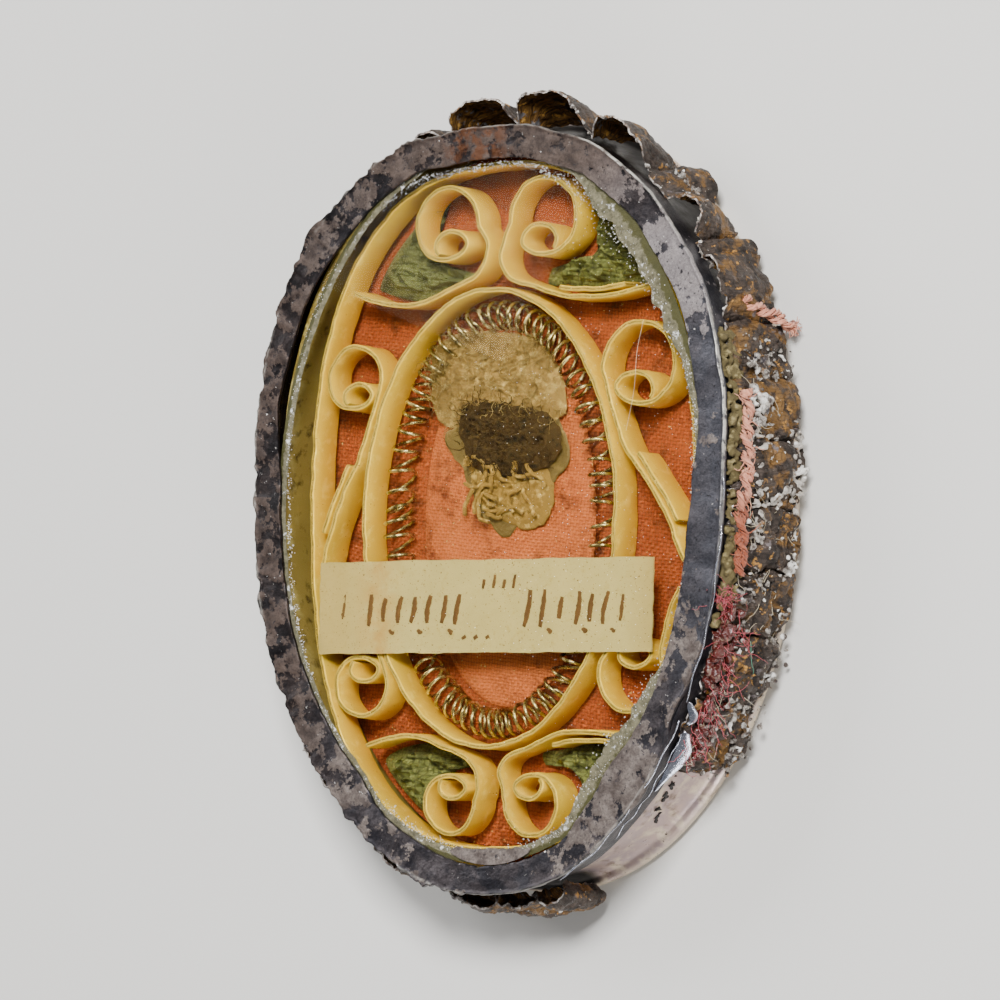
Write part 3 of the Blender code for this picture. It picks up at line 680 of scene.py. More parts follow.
def pearly_silver():
    """Case: silver with wear and a pinkish pearly film, its lilac tone painted shadow, pale at its back
    rim as a painted highlight, near black as painted shade where the braid covers it, pitted and
    stained.
    """
    f = Finish("pearly_silver", Metallic=0.6)
    # The second, lilac tone is painted shadow.
    f.tone = f.blend(f.grain(2.2, twist=0.8), (196, 168, 146), (140, 128, 144))
    f.patch((206, 188, 166), 0.9, 0.5, 0.66)
    # Pale back rim: painted highlight on the rolled lip.
    f.lay(f.run(2, 0.5, 0.9, 0.7, 0.0), (206, 192, 166))
    f.patch((104, 84, 64), 1.3, 0.57, 0.7, detail=6.0)
    f.lay(f.run(2, 3.6, 5.6, 0.0, 0.7), (76, 66, 58))
    # Near black where the braid covers the wall: painted shade under the braid.
    f.lay(f.mark("shade_under_braid"), (34, 28, 24))
    f.patch((30, 26, 24), 0.4, 0.68, 0.72, detail=4.0)
    f.feed("Roughness", f.span(f.grain(0.9), 0.3, 0.7, 0.26, 0.52))
    scratch = f.grain(0.4, detail=2.0, stretch=(0.12, 1.0, 1.0))
    return f.done((f.grain(1.0), 0.06, 0.5), (scratch, 0.012, 0.6))


def dull_lining():
    """Inner side of the wall: khaki, dull and stained, with pale painted highlights near the glass."""
    f = Finish("dull_lining", Metallic=0.2, Roughness=0.6)
    f.tone = f.blend(f.grain(2.5, stretch=(1.0, 1.0, 0.3)), (142, 130, 86), (96, 88, 50))
    f.patch((58, 50, 30), 0.9, 0.56, 0.68, detail=5.0)
    # Pale blotches near the glass: painted highlight.
    f.lay(f.times(f.run(2, 4.6, 6.0), f.blotch(1.4, 0.48, 0.6)), (176, 172, 140))
    return f.done((f.grain(0.4), 0.04, 0.7))


def bare_foil():
    f = Finish("bare_foil", Metallic=1.0, Roughness=0.24)
    f.tone = f.blend(f.grain(0.8), (136, 146, 174), (214, 212, 212))
    return f.done((f.grain(0.3), 0.05, 0.8))


def old_glass():
    """Yellowed clear pane that lets light through to what lies under it."""
    f = Finish("old_glass", Transmission_Weight=1.0, Roughness=0.0, IOR=1.1)
    f.shader.inputs["Base Color"].default_value = (0.74, 0.67, 0.43, 1.0)
    clear = f.add("BsdfTransparent", {"Color": (0.97, 0.95, 0.88, 1.0)})
    shadow = f.add("LightPath", {}, output="Is Shadow Ray")
    mixed = f.add("MixShader", {0: shadow, 1: f.shader.outputs[0], 2: clear})
    f.tree.links.new(mixed, f.tree.nodes["Material Output"].inputs["Surface"])
    return f.material


def dust_and_painted_reflection():
    """Dust at the edge of the glass: olive outside as a painted reflection of the bezel's inner edge,
    dusty grey inside.
    """
    f = Finish("dust_and_painted_reflection", Roughness=0.7)
    dust = f.blend(f.blotch(0.3, 0.36, 0.64, detail=6.0, rough=0.75), (66, 62, 40), (124, 118, 92))
    dust = f.blend(f.blotch(0.5, 0.62, 0.7, detail=4.0), dust, (226, 226, 222))
    # Olive: painted reflection of the bezel's inner edge.
    olive = f.blend(f.grain(0.6), (44, 44, 10), (72, 68, 20))
    ragged = f.span(f.grain(0.4, detail=5.0), 0.3, 0.7, -0.16, 0.16)
    inner = f.maths("ADD", f.axis(1, f.uv), ragged)
    f.tone = f.blend(f.span(inner, 0.34, 0.46), olive, dust)
    return f.done((f.grain(0.14, detail=5.0, rough=0.7), 0.07, 1.0))


def woven_silk(name, shade, light, deep, pitch):
    """Faded silk with a plain weave; sheen along its folds. Its light tone is painted highlight, laid
    in blotches and along slubs; its deep tone is painted shade in blotches and in the hollows between
    threads.
    """
    f = Finish(name, Roughness=0.7, Sheen_Weight=0.1, Sheen_Roughness=0.4, Sheen_Tint=colour(*light))
    cloth = f.add("Mapping", {"Vector": f.spot, "Rotation": (0.0, 0.0, math.radians(7.0))})
    drift = f.add("TexNoise", {"Vector": f.spot, "Scale": 1 / (3.0 * MM)}, output=1)
    drift = f.add("VectorMath", {0: drift, "Scale": 0.5 * MM}, operation="SCALE")
    threads = f.weave(pitch, f.add("VectorMath", {0: cloth, 1: drift}, operation="ADD"))
    # The light tone is painted highlight, mixed in by noise.
    f.tone = f.blend(f.grain(2.6, detail=4.0), shade, light)
    # Deep blotches: painted shade.
    f.patch(deep, 1.4, 0.5, 0.7, detail=5.0)
    # Deep tone in the hollows between threads: painted shade.
    f.lay(f.span(threads, 0.0, 0.75, 0.7, 0.0), deep, "MULTIPLY")
    slub = f.grain(pitch * 1.5, detail=2.0, stretch=(0.15, 1.0, 1.0))
    # Slubs lightened with the light tone: painted highlight.
    f.lay(f.span(slub, 0.45, 0.8, 0.0, 0.35), light)
    f.patch((196, 178, 128), 0.3, 0.68, 0.74, detail=3.0)
    return f.done((f.grain(0.5), 0.05, 0.5), (threads, 0.25 * pitch, 0.9))


def gilt_face():
    """Face of the gilt paper: warm yellow, darker towards its foot from glue and painted shade, with
    painted highlights in blotches and fine specks.
    """
    f = Finish("gilt_face", Metallic=0.1, Roughness=0.48)
    f.tone = f.blend(f.grain(2.0, detail=3.0), (238, 214, 88), (216, 186, 62))
    # Pale blotches: painted highlight.
    f.patch((250, 230, 128), 0.8, 0.54, 0.72)
    # Darker towards the foot: glue stain and painted shade.
    foot = f.span(f.axis(2), STRIP_BOTTOM, STRIP_TOP - 0.3 * MM, 0.8, 0.0)
    f.lay(foot, (198, 160, 84), "MULTIPLY")
    f.patch((118, 82, 26), 0.2, 0.69, 0.75, detail=2.0)
    fibres = f.grain(0.12, detail=3.0, stretch=(1.0, 1.0, 3.0))
    return f.done((f.grain(0.7), 0.05, 0.6), (fibres, 0.012, 0.7))


def gilt_edge():
    """Cut edge of the doubled paper: olive, a dark line between its layers, pale specks."""
    f = Finish("gilt_edge", Metallic=0.05, Roughness=0.6)
    f.tone = f.blend(f.grain(0.6, detail=5.0, rough=0.7), (196, 174, 88), (156, 138, 64))
    ragged = f.span(f.grain(0.3), 0.3, 0.7, -0.2, 0.2)
    seam = f.maths("ADD", f.maths("ABSOLUTE", f.mark("side")), ragged)
    f.lay(f.span(seam, 0.16, 0.36, 0.8, 0.0), (84, 72, 26))
    f.patch((206, 190, 124), 0.12, 0.6, 0.7, detail=3.0)
    return f.done((f.grain(0.08, detail=4.0), 0.03, 0.9))


def bright_wire():
    f = Finish("bright_wire", Metallic=1.0)
    f.tone = f.blend(f.blotch(0.7, 0.4, 0.64), (228, 222, 196), (128, 116, 76))
    f.feed("Roughness", f.span(f.grain(0.4), 0.3, 0.7, 0.14, 0.34))
    return f.done((f.grain(0.1), 0.015, 0.6))


def fibrous(name, first, second, third, size=0.3, roughness=0.85):
    """Dry matted stuff of three tones."""
    f = Finish(name, Roughness=roughness)
    f.tone = f.blend(f.grain(size, detail=6.0, rough=0.7), first, second)
    f.patch(third, 2.2 * size, 0.52, 0.68)
    return f.done((f.grain(0.4 * size, detail=5.0, rough=0.7), 0.15 * size, 0.9))


def label_paper():
    """Cream paper, grubby, with a tan stain near its left end."""
    f = Finish("label_paper", Roughness=0.85)
    f.tone = f.blend(f.grain(1.6, detail=6.0, rough=0.65), (180, 176, 143), (154, 147, 113))
    near = f.span(f.off(0, LABEL_LOW.x / MM + 4.1), 0.1 * MM, 1.8 * MM, 1.0, 0.0)
    stain = f.times(near, f.blotch(1.1, 0.32, 0.6))
    f.lay(f.times(stain, 0.8), (158, 126, 76))
    f.patch((158, 148, 108), 0.5, 0.56, 0.76, detail=5.0)
    f.lay(f.span(f.off(0, 0.0), 8.6 * MM, 10.6 * MM, 0.0, 0.45), (146, 128, 84))
    f.patch((104, 84, 52), 0.12, 0.68, 0.73, detail=1.0)
    return f.done((f.grain(0.3, detail=4.0, stretch=(0.25, 1.0, 1.0)), 0.03, 0.8))


def corroded_braid():
    """Outside of the metal braid: woven strips, dark brown with gilt left in places."""
    f = Finish("corroded_braid", Metallic=0.45, Roughness=0.5)
    strands = f.weave(0.2, f.uv, 1.8)
    f.tone = f.blend(f.blotch(0.9, 0.38, 0.62, detail=6.0), (34, 26, 21), (78, 66, 58))
    f.patch((116, 84, 42), 1.6, 0.52, 0.6, detail=6.0, twist=0.5)
    f.patch((190, 138, 64), 0.5, 0.6, 0.68, detail=5.0)
    f.patch((112, 103, 103), 0.8, 0.62, 0.68, detail=5.0)
    f.patch((222, 216, 206), 0.24, 0.68, 0.73, detail=4.0)
    # Darker between the strands: painted shade in the weave's hollows.
    f.lay(f.span(strands, 0.0, 0.5, 0.6, 0.0), (40, 34, 30), "MULTIPLY")
    return f.done((f.grain(0.16, detail=6.0, rough=0.7), 0.09, 1.0), (strands, 0.05, 0.7))


def gilt_braid():
    """Inside of the folded braid: dark gilt brown with bright gold threads along it."""
    f = Finish("gilt_braid", Metallic=0.5, Roughness=0.45)
    threads = f.grain(0.14, detail=3.0, rough=0.6, stretch=(0.06, 1.0, 1.0), where=f.uv)
    f.tone = f.blend(f.span(threads, 0.38, 0.62), (74, 52, 30), (166, 122, 62))
    f.patch((60, 44, 34), 0.7, 0.5, 0.64, detail=5.0)
    f.patch((226, 172, 88), 0.5, 0.58, 0.66, detail=5.0)
    f.patch((150, 148, 152), 0.9, 0.62, 0.68)
    return f.done((f.grain(0.2, detail=5.0), 0.05, 0.8), (threads, 0.06, 1.0))


def braid_rim():
    """Bare bright threads and white corrosion along the edges of the braid."""
    f = Finish("braid_rim", Metallic=0.4, Roughness=0.5)
    f.tone = f.blend(f.blotch(0.3, 0.42, 0.58, detail=5.0), (96, 86, 82), (206, 198, 190))
    f.patch((116, 84, 54), 0.7, 0.54, 0.64)
    return f.done((f.grain(0.1, detail=4.0), 0.05, 1.0))


def corrosion_crust():
    """Chalky grey-white corrosion with dark, amber and brown hollows."""
    f = Finish("corrosion_crust", Roughness=0.6)
    chalky = f.span(f.off(1, 0.7), 1.4 * MM, 4.5 * MM, 0.1, 0.0)
    pale = f.maths("ADD", f.grain(0.42, detail=6.0, rough=0.75), chalky)
    f.tone = f.blend(f.span(pale, 0.44, 0.62), (66, 55, 49), (180, 173, 163))
    f.patch((234, 231, 224), 1.1, 0.54, 0.62)
    f.patch((136, 98, 54), 0.8, 0.6, 0.67, detail=4.0)
    f.patch((42, 38, 46), 0.6, 0.62, 0.69, detail=4.0)
    return f.done((f.grain(0.12, detail=6.0, rough=0.75), 0.08, 1.0))


def twisted_silk():
    f = Finish("twisted_silk", Roughness=0.55, Sheen_Weight=0.2)
    # The pale tone is painted highlight and the dark one painted shade, mixed by noise.
    f.tone = f.blend(f.grain(0.7), (232, 172, 142), (172, 88, 62))
    f.patch((92, 36, 26), 0.5, 0.56, 0.66)
    f.lay(f.times(f.run(1, -2.0, 0.2, 1.0, 0.0), 0.9), (146, 66, 28))
    return f.done((f.grain(0.08), 0.02, 0.8))


def sealing_wax():
    f = Finish("sealing_wax", Roughness=0.25, Coat_Weight=0.3)
    f.tone = f.blend(f.grain(0.6, detail=5.0), (44, 12, 12), (92, 34, 26))
    f.patch((132, 112, 96), 0.4, 0.56, 0.66, detail=5.0)
    return f.done((f.grain(0.3, detail=5.0), 0.1, 0.9))


def plain(name, tone, **sockets):
    """Small things such as ink and threads, with a little variation."""
    f = Finish(name, **sockets)
    tone = colour(*tone)
    f.tone = f.blend(f.grain(0.4), tone, tuple(0.55 * part for part in tone[:3]) + (1.0,))
    return f.done()


def sheet_dents(angle, spot):
    """Shallow dents round the case's wall."""
    way = Vector((math.cos(math.radians(angle)), math.sin(math.radians(angle)), 0.0))
    return way * (0.16 * MM * wander((way.x * 9 * MM, way.y * 9 * MM, 0.0), 3.0 * MM))


def make_case(silver, lining):
    rim = BACK_RIM_HEIGHT
    side = softened([
        (1.8 * rim, 0.0), (0.6 * rim, 0.1 * rim), (0.0, 0.45 * rim), (0.0, 0.95 * rim),
        (0.25 * WALL_INSET, 1.3 * rim), (0.6 * WALL_INSET, 1.55 * rim),
        (0.85 * WALL_INSET, 2.2 * rim), (WALL_INSET, 3.4 * rim), (WALL_INSET, 0.6 * WALL_TOP),
        (WALL_INSET, WALL_TOP), (INSIDE_INSET, WALL_TOP), (INSIDE_INSET, GROUND_TOP),
        (INSIDE_INSET, BACK_THICKNESS),
    ], 2)
    back = [0.0, 0.25, 0.5, 0.75, 0.93]

    def place(column, row):
        angle = 360.0 * column / CASE_SLICES
        step = row - len(back)
        if step < 0:
            return on_case(angle, -side[0][0], side[0][1]) * back[row]
        if step >= len(side):
            flat = on_case(angle, -side[-1][0], side[-1][1])
            share = 1.0 - (step - len(side) + 1) / 2
            return Vector((flat.x * share, flat.y * share, flat.z))
        inset, z = side[step]
        spot = on_case(angle, -inset, z)
        return spot + 0.6 * sheet_dents(angle, spot) * ease(z / (2 * rim))

    case = weld(lay_grid("silver_case", CASE_SLICES, len(back) + len(side) + 1, place))
    middle = (WALL_INSET + INSIDE_INSET) / 2
    for face in case.data.polygons:
        spot = face.center
        edge = on_case(case_angle(spot), -middle, spot.z)
        inside = spot.to_2d().length < edge.to_2d().length and spot.z > BACK_THICKNESS / 2
        face.material_index = 1 if inside else 0
    # Mask for the painted shade under the braid: the wall above the back rim, outside the bare stretch.
    mark_points(case, "shade_under_braid", lambda spot: (
        ease((spot.z - BACK_RIM_HEIGHT) / (0.2 * MM))
        * (1.0 - window(case_angle(spot), *BARE_WALL, 3))))
    case.data.materials.append(silver)
    case.data.materials.append(lining)
    smooth_by_angle(case)
    fit_out(case, "case_silver", silver, lining, replaces=["case_shell"])


def film_at(spot):
    """How much of the pale film is left on the bezel at a place, over 0 where it covers."""
    rough = wander((spot.x, spot.y, 2 * MM), 1.1 * MM, 5)
    fine = wander((spot.x, spot.y, 8 * MM), 0.45 * MM, 3)
    return 0.62 * (rough + 0.5 * fine) + along_table(FILM_LEFT, case_angle(spot))


def make_bezel(silver, foil):
    low = GLASS_TOP + FIT_GAP
    inside = WALL_INSET - FIT_GAP
    outside = inside - BEZEL_THICKNESS
    face = BEZEL_FACE_WIDTH
    profile = filled(chamfered([
        (0.0, low), (0.0, BEZEL_TOP - 0.02 * MM), (0.07 * MM, BEZEL_TOP + 0.02 * MM),
        (0.2 * MM, BEZEL_TOP - 0.05 * MM), (0.6 * face, BEZEL_TOP - 0.09 * MM),
        (face, BEZEL_TOP - 0.14 * MM), (face, low), (inside, low), (inside, SKIRT_BOTTOM),
        (outside, SKIRT_BOTTOM), (outside, low),
    ], 0.03 * MM), 0.1 * MM)

    def uneven(angle, inset, z, spot):
        way = outward(angle)
        inner = ease(inset / face)
        outer = 1.0 - inner
        left = window(angle, *CRUMBLED_EDGE, 14)
        ragged = wander(way * 19 * MM, 0.9 * MM, 4) * (0.05 * MM + 0.2 * MM * left)
        waves = [along_table(table, angle) * MM for table in (OUTER_WAVES, INNER_WAVES)]
        nibbled = 0.05 * MM * wander(way * 17 * MM, 0.7 * MM, 4)
        flat = way * (ragged * outer + nibbled * inner + (waves[0] * outer + waves[1] * inner))
        if z <= low:
            return flat * (0.3 if z < low - FIT_GAP else 1.0)
        crust = 0.045 * MM * ease(film_at(spot + flat) * 4) + 0.02 * MM * wander(spot, 0.16 * MM, 3)
        dent = 0.09 * MM * wander((spot.x, spot.y, 9 * MM), 1.9 * MM, 2)
        flake = max(0.0, wander(way * 19 * MM, 1.1 * MM, 3) - 0.15)
        return flat + Vector((0.0, 0.0, crust + dent + 0.19 * MM * flake * left * outer))

    def place(column, row):
        angle = 360.0 * column / BEZEL_SLICES
        inset, z = profile[row % len(profile)]
        spot = on_case(angle, -inset, z)
        return spot + uneven(angle, inset, z, spot)

    def film(spot):
        return film_at(spot) - 0.9 * ease((BEZEL_TOP - 0.12 * MM - spot.z) / (0.2 * MM))

    def rim_wear_and_highlight(spot):
        angle = case_angle(spot)
        rim = (spot.to_2d() - on_case(angle, 0.0, BEZEL_TOP).to_2d()).length
        # Wear along the whole rim, plus a painted highlight over the right edge's stretch.
        wear_and_highlight = 0.25 + 0.6 * window(angle, *RIM_HIGHLIGHT_STRETCH, 8)
        return ease(1.4 - rim / (0.06 * MM)) * wear_and_highlight * (spot.z > BEZEL_TOP - 0.2 * MM)

    bezel = weld(lay_grid("silver_bezel", BEZEL_SLICES, len(profile), place))
    mark_points(bezel, "film", film)
    mark_points(bezel, "rim_wear_and_highlight", rim_wear_and_highlight)
    smooth_by_angle(bezel, 40)
    fit_out(bezel, "bezel_silver", silver, replaces=["front_bezel"])
    make_torn_foil(foil)
    make_flake(silver)


def make_torn_foil(foil):
    """Bright leaf and curl of the bezel's skirt torn free, and its bare wire-thin edge."""
    parts = []
    for course, breadths in TORN_LEAVES:
        middle = smooth_path([on_case(angle, outset * MM, z * MM) for angle, outset, z in course],
                             0.1 * MM)
        count = len(middle) - 1

        def place(column, row, middle=middle, breadths=breadths, count=count):
            across = row / 8 - 0.5
            spot = column / count * (len(breadths) - 1)
            first = min(int(spot), len(breadths) - 2)
            breadth = share_between(*breadths[first:first + 2], spot - first)
            way = outward(case_angle(middle[column]))
            tilt = (way * 0.75 + Vector((0.0, 0.0, -0.65))).normalized()
            belly = way * (0.35 * MM * (0.25 - across * across))
            fold = Vector((0.0, 0.0, 0.06 * MM * wander(middle[column], 0.5 * MM)))
            return middle[column] + tilt * (across * breadth * MM) + belly + fold

        leaf = lay_grid("leaf", count, 8, place)
        parts.append(change(leaf, "SOLIDIFY", thickness=0.06 * MM, offset=0.0))
    flap = weld(join("torn_foil", parts))
    change(flap, "SUBSURF", levels=1, render_levels=1)
    smooth_by_angle(flap, 60)
    fit_out(flap, "bezel_silver", foil)
    lines = []
    for start, stop, outset, z in BARE_EDGES:
        line = []
        for step in range(61):
            reach = (outset + 0.06 * math.sin(step * 0.45)) * MM
            height = z * MM - 0.05 * MM * math.sin(step * 0.21)
            spot = on_case(start + (stop - start) * step / 60, reach, height)
            line.append((*spot, 0.6 + 0.4 * math.sin(step * 0.9) ** 2))
        lines.append(line)
    fit_out(tubes("bare_skirt_edge", lines, 0.045 * MM, 6), "bezel_silver", foil)


def make_flake(silver):
    """Thin flake of the bezel's silver bent down over the glass at the bottom."""
    middle, length, width = Vector((0.45 * MM, -19.2 * MM)), 5.4 * MM, 0.85 * MM

    def place(column, row):
        run, across = column / 60 - 0.5, row / 12 - 0.5
        x = middle.x + run * length
        breadth = width * (1.0 - (2 * run) ** 2) ** 0.5 if abs(run) < 0.5 else 0.0
        ragged = 0.12 * MM * wander((x, row * 0.3 * MM, 0.0), 0.5 * MM)
        bow = 0.9 * MM * (2 * run) ** 2 * 0.4
        y = middle.y + across * breadth + bow + ragged * (across > 0.4)
        wave = 0.03 * MM * wander((x, y, 0.0), 0.5 * MM)
        return Vector((x, y, GLASS_TOP + 0.06 * MM + 0.1 * MM * (0.5 - across) + wave))

    flake = weld(lay_grid("silver_flake", 60, 12, place))
    weld(change(flake, "SOLIDIFY", thickness=0.05 * MM, offset=0.0))
    mark_points(flake, "film", lambda spot: 0.3)
    smooth_by_angle(flake, 60)
    fit_out(flake, "bezel_silver", silver)


def make_glass(glass):
    edge = 0.12 * MM
    inset = WALL_INSET + 0.02 * MM
    profile = [
        (CASE_HALF_HEIGHT, GLASS_BOTTOM), (inset + edge, GLASS_BOTTOM), (inset, GLASS_BOTTOM + edge),
        (inset, GLASS_TOP - edge), (inset + edge, GLASS_TOP), (CASE_HALF_HEIGHT, GLASS_TOP),
    ]

    def place(column, row):
        inset_here, z = profile[row]
        if inset_here >= CASE_HALF_HEIGHT:
            return Vector((0.0, 0.0, z))
        return on_case(360.0 * column / GLASS_SLICES, -inset_here, z)

    pane = weld(lay_grid("glass_oval", GLASS_SLICES, len(profile) - 1, place))
    smooth_by_angle(pane, 30)
    fit_out(pane, "glass", glass, replaces=["glass_pane"])


def make_grime(grime, dust):
    """Dust on the glass along the bezel, widest at the upper right, with an olive painted reflection of
    the bezel's inner edge on its outer side.
    """
    columns, rows = 1500, 9

    def width_at(angle):
        return along_table(GRIME_WIDTHS, angle) * MM

    def place(column, row):
        angle, share = 360.0 * column / columns, row / rows
        ragged = wander(outward(angle) * 24 * MM, 1.6 * MM, 4)
        breadth = max(0.08 * MM, width_at(angle) * (1.0 + 0.3 * ragged))
        start = BEZEL_FACE_WIDTH - 0.3 * MM - min(0.0, along_table(INNER_WAVES, angle)) * MM
        spot = on_case(angle, -start - share * (breadth + 0.25 * MM), 0.0)
        lumpy = 0.5 + 0.5 * wander((spot.x, spot.y, 3 * MM), 0.22 * MM, 4)
        spot.z = GLASS_TOP + 0.012 * MM + 0.06 * MM * lumpy * (1.0 - share) ** 0.4
        return spot

    band = weld(lay_grid("grime_band", columns, rows, place))
    weld(change(band, "SOLIDIFY", thickness=0.02 * MM, offset=-1.0))
    smooth_by_angle(band, 60)
    fit_out(band, "glass", grime)
    rng = random.Random(61)
    spots = []
    for _ in range(DUST_BY_BEZEL):
        angle = rng.uniform(0, 360)
        width = width_at(angle)
        inset = BEZEL_FACE_WIDTH + width * rng.uniform(0.5, 1.1) + abs(rng.gauss(0.0, 0.55)) * width
        place_on_glass = on_case(angle, -inset, GLASS_TOP + 0.015 * MM)
        spots.append((place_on_glass, rng.uniform(0.012, 0.045) * MM))
    for _ in range(DUST_ON_GLASS):
        x, y = rng.gauss(6.5, 4.5) * MM, rng.gauss(1.0, 10.0) * MM
        if math.hypot(x / (CASE_HALF_WIDTH - 2 * MM), y / (CASE_HALF_HEIGHT - 2 * MM)) < 1.0:
            spots.append((Vector((x, y, GLASS_TOP + 0.01 * MM)), rng.uniform(0.008, 0.026) * MM))
    fit_out(scatter("dust_grains", spots, rng), "glass", dust)


def scatter(name, spots, rng):
    """Many small uneven grains in one mesh."""
    stand_clear()
    bpy.ops.mesh.primitive_ico_sphere_add(subdivisions=1, radius=1.0)
    grains = name_piece(bpy.context.object, name)
    corners = [vert.co.copy() for vert in grains.data.vertices]
    change(grains, "ARRAY", count=len(spots), use_relative_offset=False)
    moved = []
    for place, size in spots:
        stretch = Vector([rng.uniform(0.5, 1.5) for _ in range(3)]) * size
        turn = Matrix.Rotation(rng.uniform(0, math.pi), 3, "Z")
        moved += [turn @ (corner * stretch) + place for corner in corners]
    for vert, place in zip(grains.data.vertices, moved):
        vert.co = place
    return grains


def lumps(name, spots, voxel, seed):
    """Small balls melted into one crust."""
    rng = random.Random(seed)
    crust = scatter(name, spots, rng)
    change(crust, "REMESH", mode="VOXEL", voxel_size=voxel)
    for vert in crust.data.vertices:
        vert.co += (wander_vector(vert.co, 0.3 * MM) * 0.09 * MM
                    + wander_vector(vert.co, 0.1 * MM) * 0.035 * MM)
    pick(crust)
    bpy.ops.object.shade_smooth()
    return crust


def fan(name, rim, profile, lift=None, centre=None):
    """Closed pad: its rim is shrunk to the centre ring by ring through (share, height) pairs."""
    centre = centre or sum(rim, Vector((0.0, 0.0))) / len(rim)

    def place(column, row):
        share, z = profile[row]
        flat = centre.lerp(rim[column % len(rim)], share)
        rise = lift(flat, share) if lift and row >= len(profile) // 3 else 0.0
        return Vector((flat.x, flat.y, z + rise))

    pad = weld(lay_grid(name, len(rim), len(profile) - 1, place))
    return smooth_by_angle(pad, 60)


def crowned(bottom, edge_height, top, rings):
    """Pad profile: flat under, a rounded edge, then a crown that rises to the middle."""
    profile = [(0.0, bottom), (0.5, bottom), (0.97, bottom), (1.0, bottom + 0.4 * edge_height)]
    for ring in range(rings + 1):
        share = 1.0 - ring / rings
        z = bottom + edge_height + (top - bottom - edge_height) * (1.0 - share ** 3)
        profile.append((0.985 * share, z))
    return profile


def mound(name, outline, bottom, height, bumps, rings=44):
    """Low uneven heap over an outline of (x, y) places; bumps are (size, depth), all in mm."""
    rim = smooth_path([Vector((x * MM, y * MM)) for x, y in outline], 0.12 * MM, closed=True)
    ragged = [spot + wander_vector((spot.x, spot.y, bottom), 0.5 * MM).to_2d() * 0.16 * MM
              for spot in rim]
    profile = crowned(bottom, 0.12 * MM, bottom + height, rings)

    def lift(flat, share):
        total = sum(depth * MM * (abs(wander((flat.x, flat.y, size * MM * 9), size * MM, 3)) - 0.35)
                    for size, depth in bumps)
        return total * ease((1.0 - share) / 0.16)

    return fan(name, ragged, profile, lift)


def make_ground(silk):
    edge = INSIDE_INSET + 0.04 * MM
    rim = [on_case(360.0 * step / 300, -edge, 0.0).to_2d() for step in range(300)]
    profile = crowned(GROUND_BOTTOM, GROUND_TOP - GROUND_BOTTOM - 0.25 * MM, GROUND_TOP, 40)

    def pucker(flat, share):
        fold = wander((flat.x, flat.y, 0.0), 2.4 * MM) * 0.06 * MM
        return fold * ease((1.0 - share) / 0.05)

    ground = fan("red_silk_ground", rim, profile, pucker)
    fit_out(ground, "red_silk", silk, replaces=["silk_ground"])


def make_medallion(silk):
    size = (MEDALLION_HALF_WIDTH + 0.25 * MM, MEDALLION_HALF_HEIGHT + 0.25 * MM)
    rim = [oval(360.0 * step / 220, *size, MEDALLION_MIDDLE) for step in range(220)]
    bottom = MEDALLION_LOW.z
    profile = crowned(bottom, 0.12 * MM, MEDALLION_HIGH.z, 44)

    def pucker(flat, share):
        offset = flat - MEDALLION_MIDDLE.to_2d()
        angle = math.atan2(offset.y, offset.x)
        gather = math.sin(46 * angle + 2.5 * math.sin(3 * angle)) * 0.05 * MM
        gather *= ease((share - 0.55) / 0.4)
        billow = wander((flat.x, flat.y, 5 * MM), 2.2 * MM) * 0.12 * MM
        return (gather + billow) * ease((1.0 - share) / 0.04)

    medallion = fan("red_silk_medallion", rim, profile, pucker)
    fit_out(medallion, "red_silk", silk, replaces=["medallion_silk"])


def border_point(angle, inset=0.0):
    lean = 1.0 + BORDER_LEAN * math.cos(math.radians(angle - BORDER_LEAN_ANGLE))
    half_width = (CASE_HALF_WIDTH - INSIDE_INSET - BORDER_SIDE_GAP - inset) * lean
    half_height = (CASE_HALF_HEIGHT - INSIDE_INSET - BORDER_END_GAP - inset) * lean
    return oval(angle, half_width, half_height, BORDER_MIDDLE, BORDER_SQUARENESS)


def medallion_strip_point(angle, outset=0.0):
    half_width = MEDALLION_STRIP_HALF_WIDTH + outset
    half_height = MEDALLION_STRIP_HALF_HEIGHT + outset
    return oval(angle, half_width, half_height, MEDALLION_MIDDLE)


def between(angle, share):
    """Place between the medallion's strip and the border, clear of both."""
    return medallion_strip_point(angle, STRIP_PITCH).lerp(border_point(angle, STRIP_PITCH), share)


def room_round(centre):
    """Distance from a place to the nearer of the two strips."""
    return min((centre - between(angle, side)).length
               for angle in range(0, 360, 2) for side in (0.0, 1.0))


def scroll_path(middle, radius_share, leave_angle, winding, tail):
    """Curled end, from inside out, then the tail that runs on from it."""
    centre = between(*middle)
    radius = radius_share * room_round(centre)
    down = Vector((0.0, -1.0 if 0 < middle[0] < 180 else 1.0))
    count = round(2 * math.pi * radius * SCROLL_TURNS / STRIP_STEP)
    curl = []
    for index in range(count + 1):
        turns_in = SCROLL_TURNS * (1 - index / count)
        tightness = ease((turns_in - 0.35) / 0.75)
        last = ease((turns_in - 1.05) / (SCROLL_TURNS - 1.05))
        wide = radius * (1 - (1 - CURL_WIDTH_SHARE) * tightness) * (1 - 0.45 * last)
        tall = radius * (1 - (1 - CURL_HEIGHT_SHARE) * tightness) * (1 - 0.35 * last)
        angle = math.radians(leave_angle) + winding * 2 * math.pi * turns_in
        offset = Vector((math.cos(angle) * wide, math.sin(angle) * tall))
        curl.append(centre + offset + down * (radius - tall) * 0.72 * tightness)
    tail_points = [between(angle, share) for angle, share in tail]
    run = smooth_path([curl[-1 - PLOT_STEPS], curl[-1]] + tail_points, STRIP_STEP)
    first_new = next(index for index, place in enumerate(run) if (place - curl[-1]).length < 1e-7)
    return curl + run[first_new + 1:], len(curl)


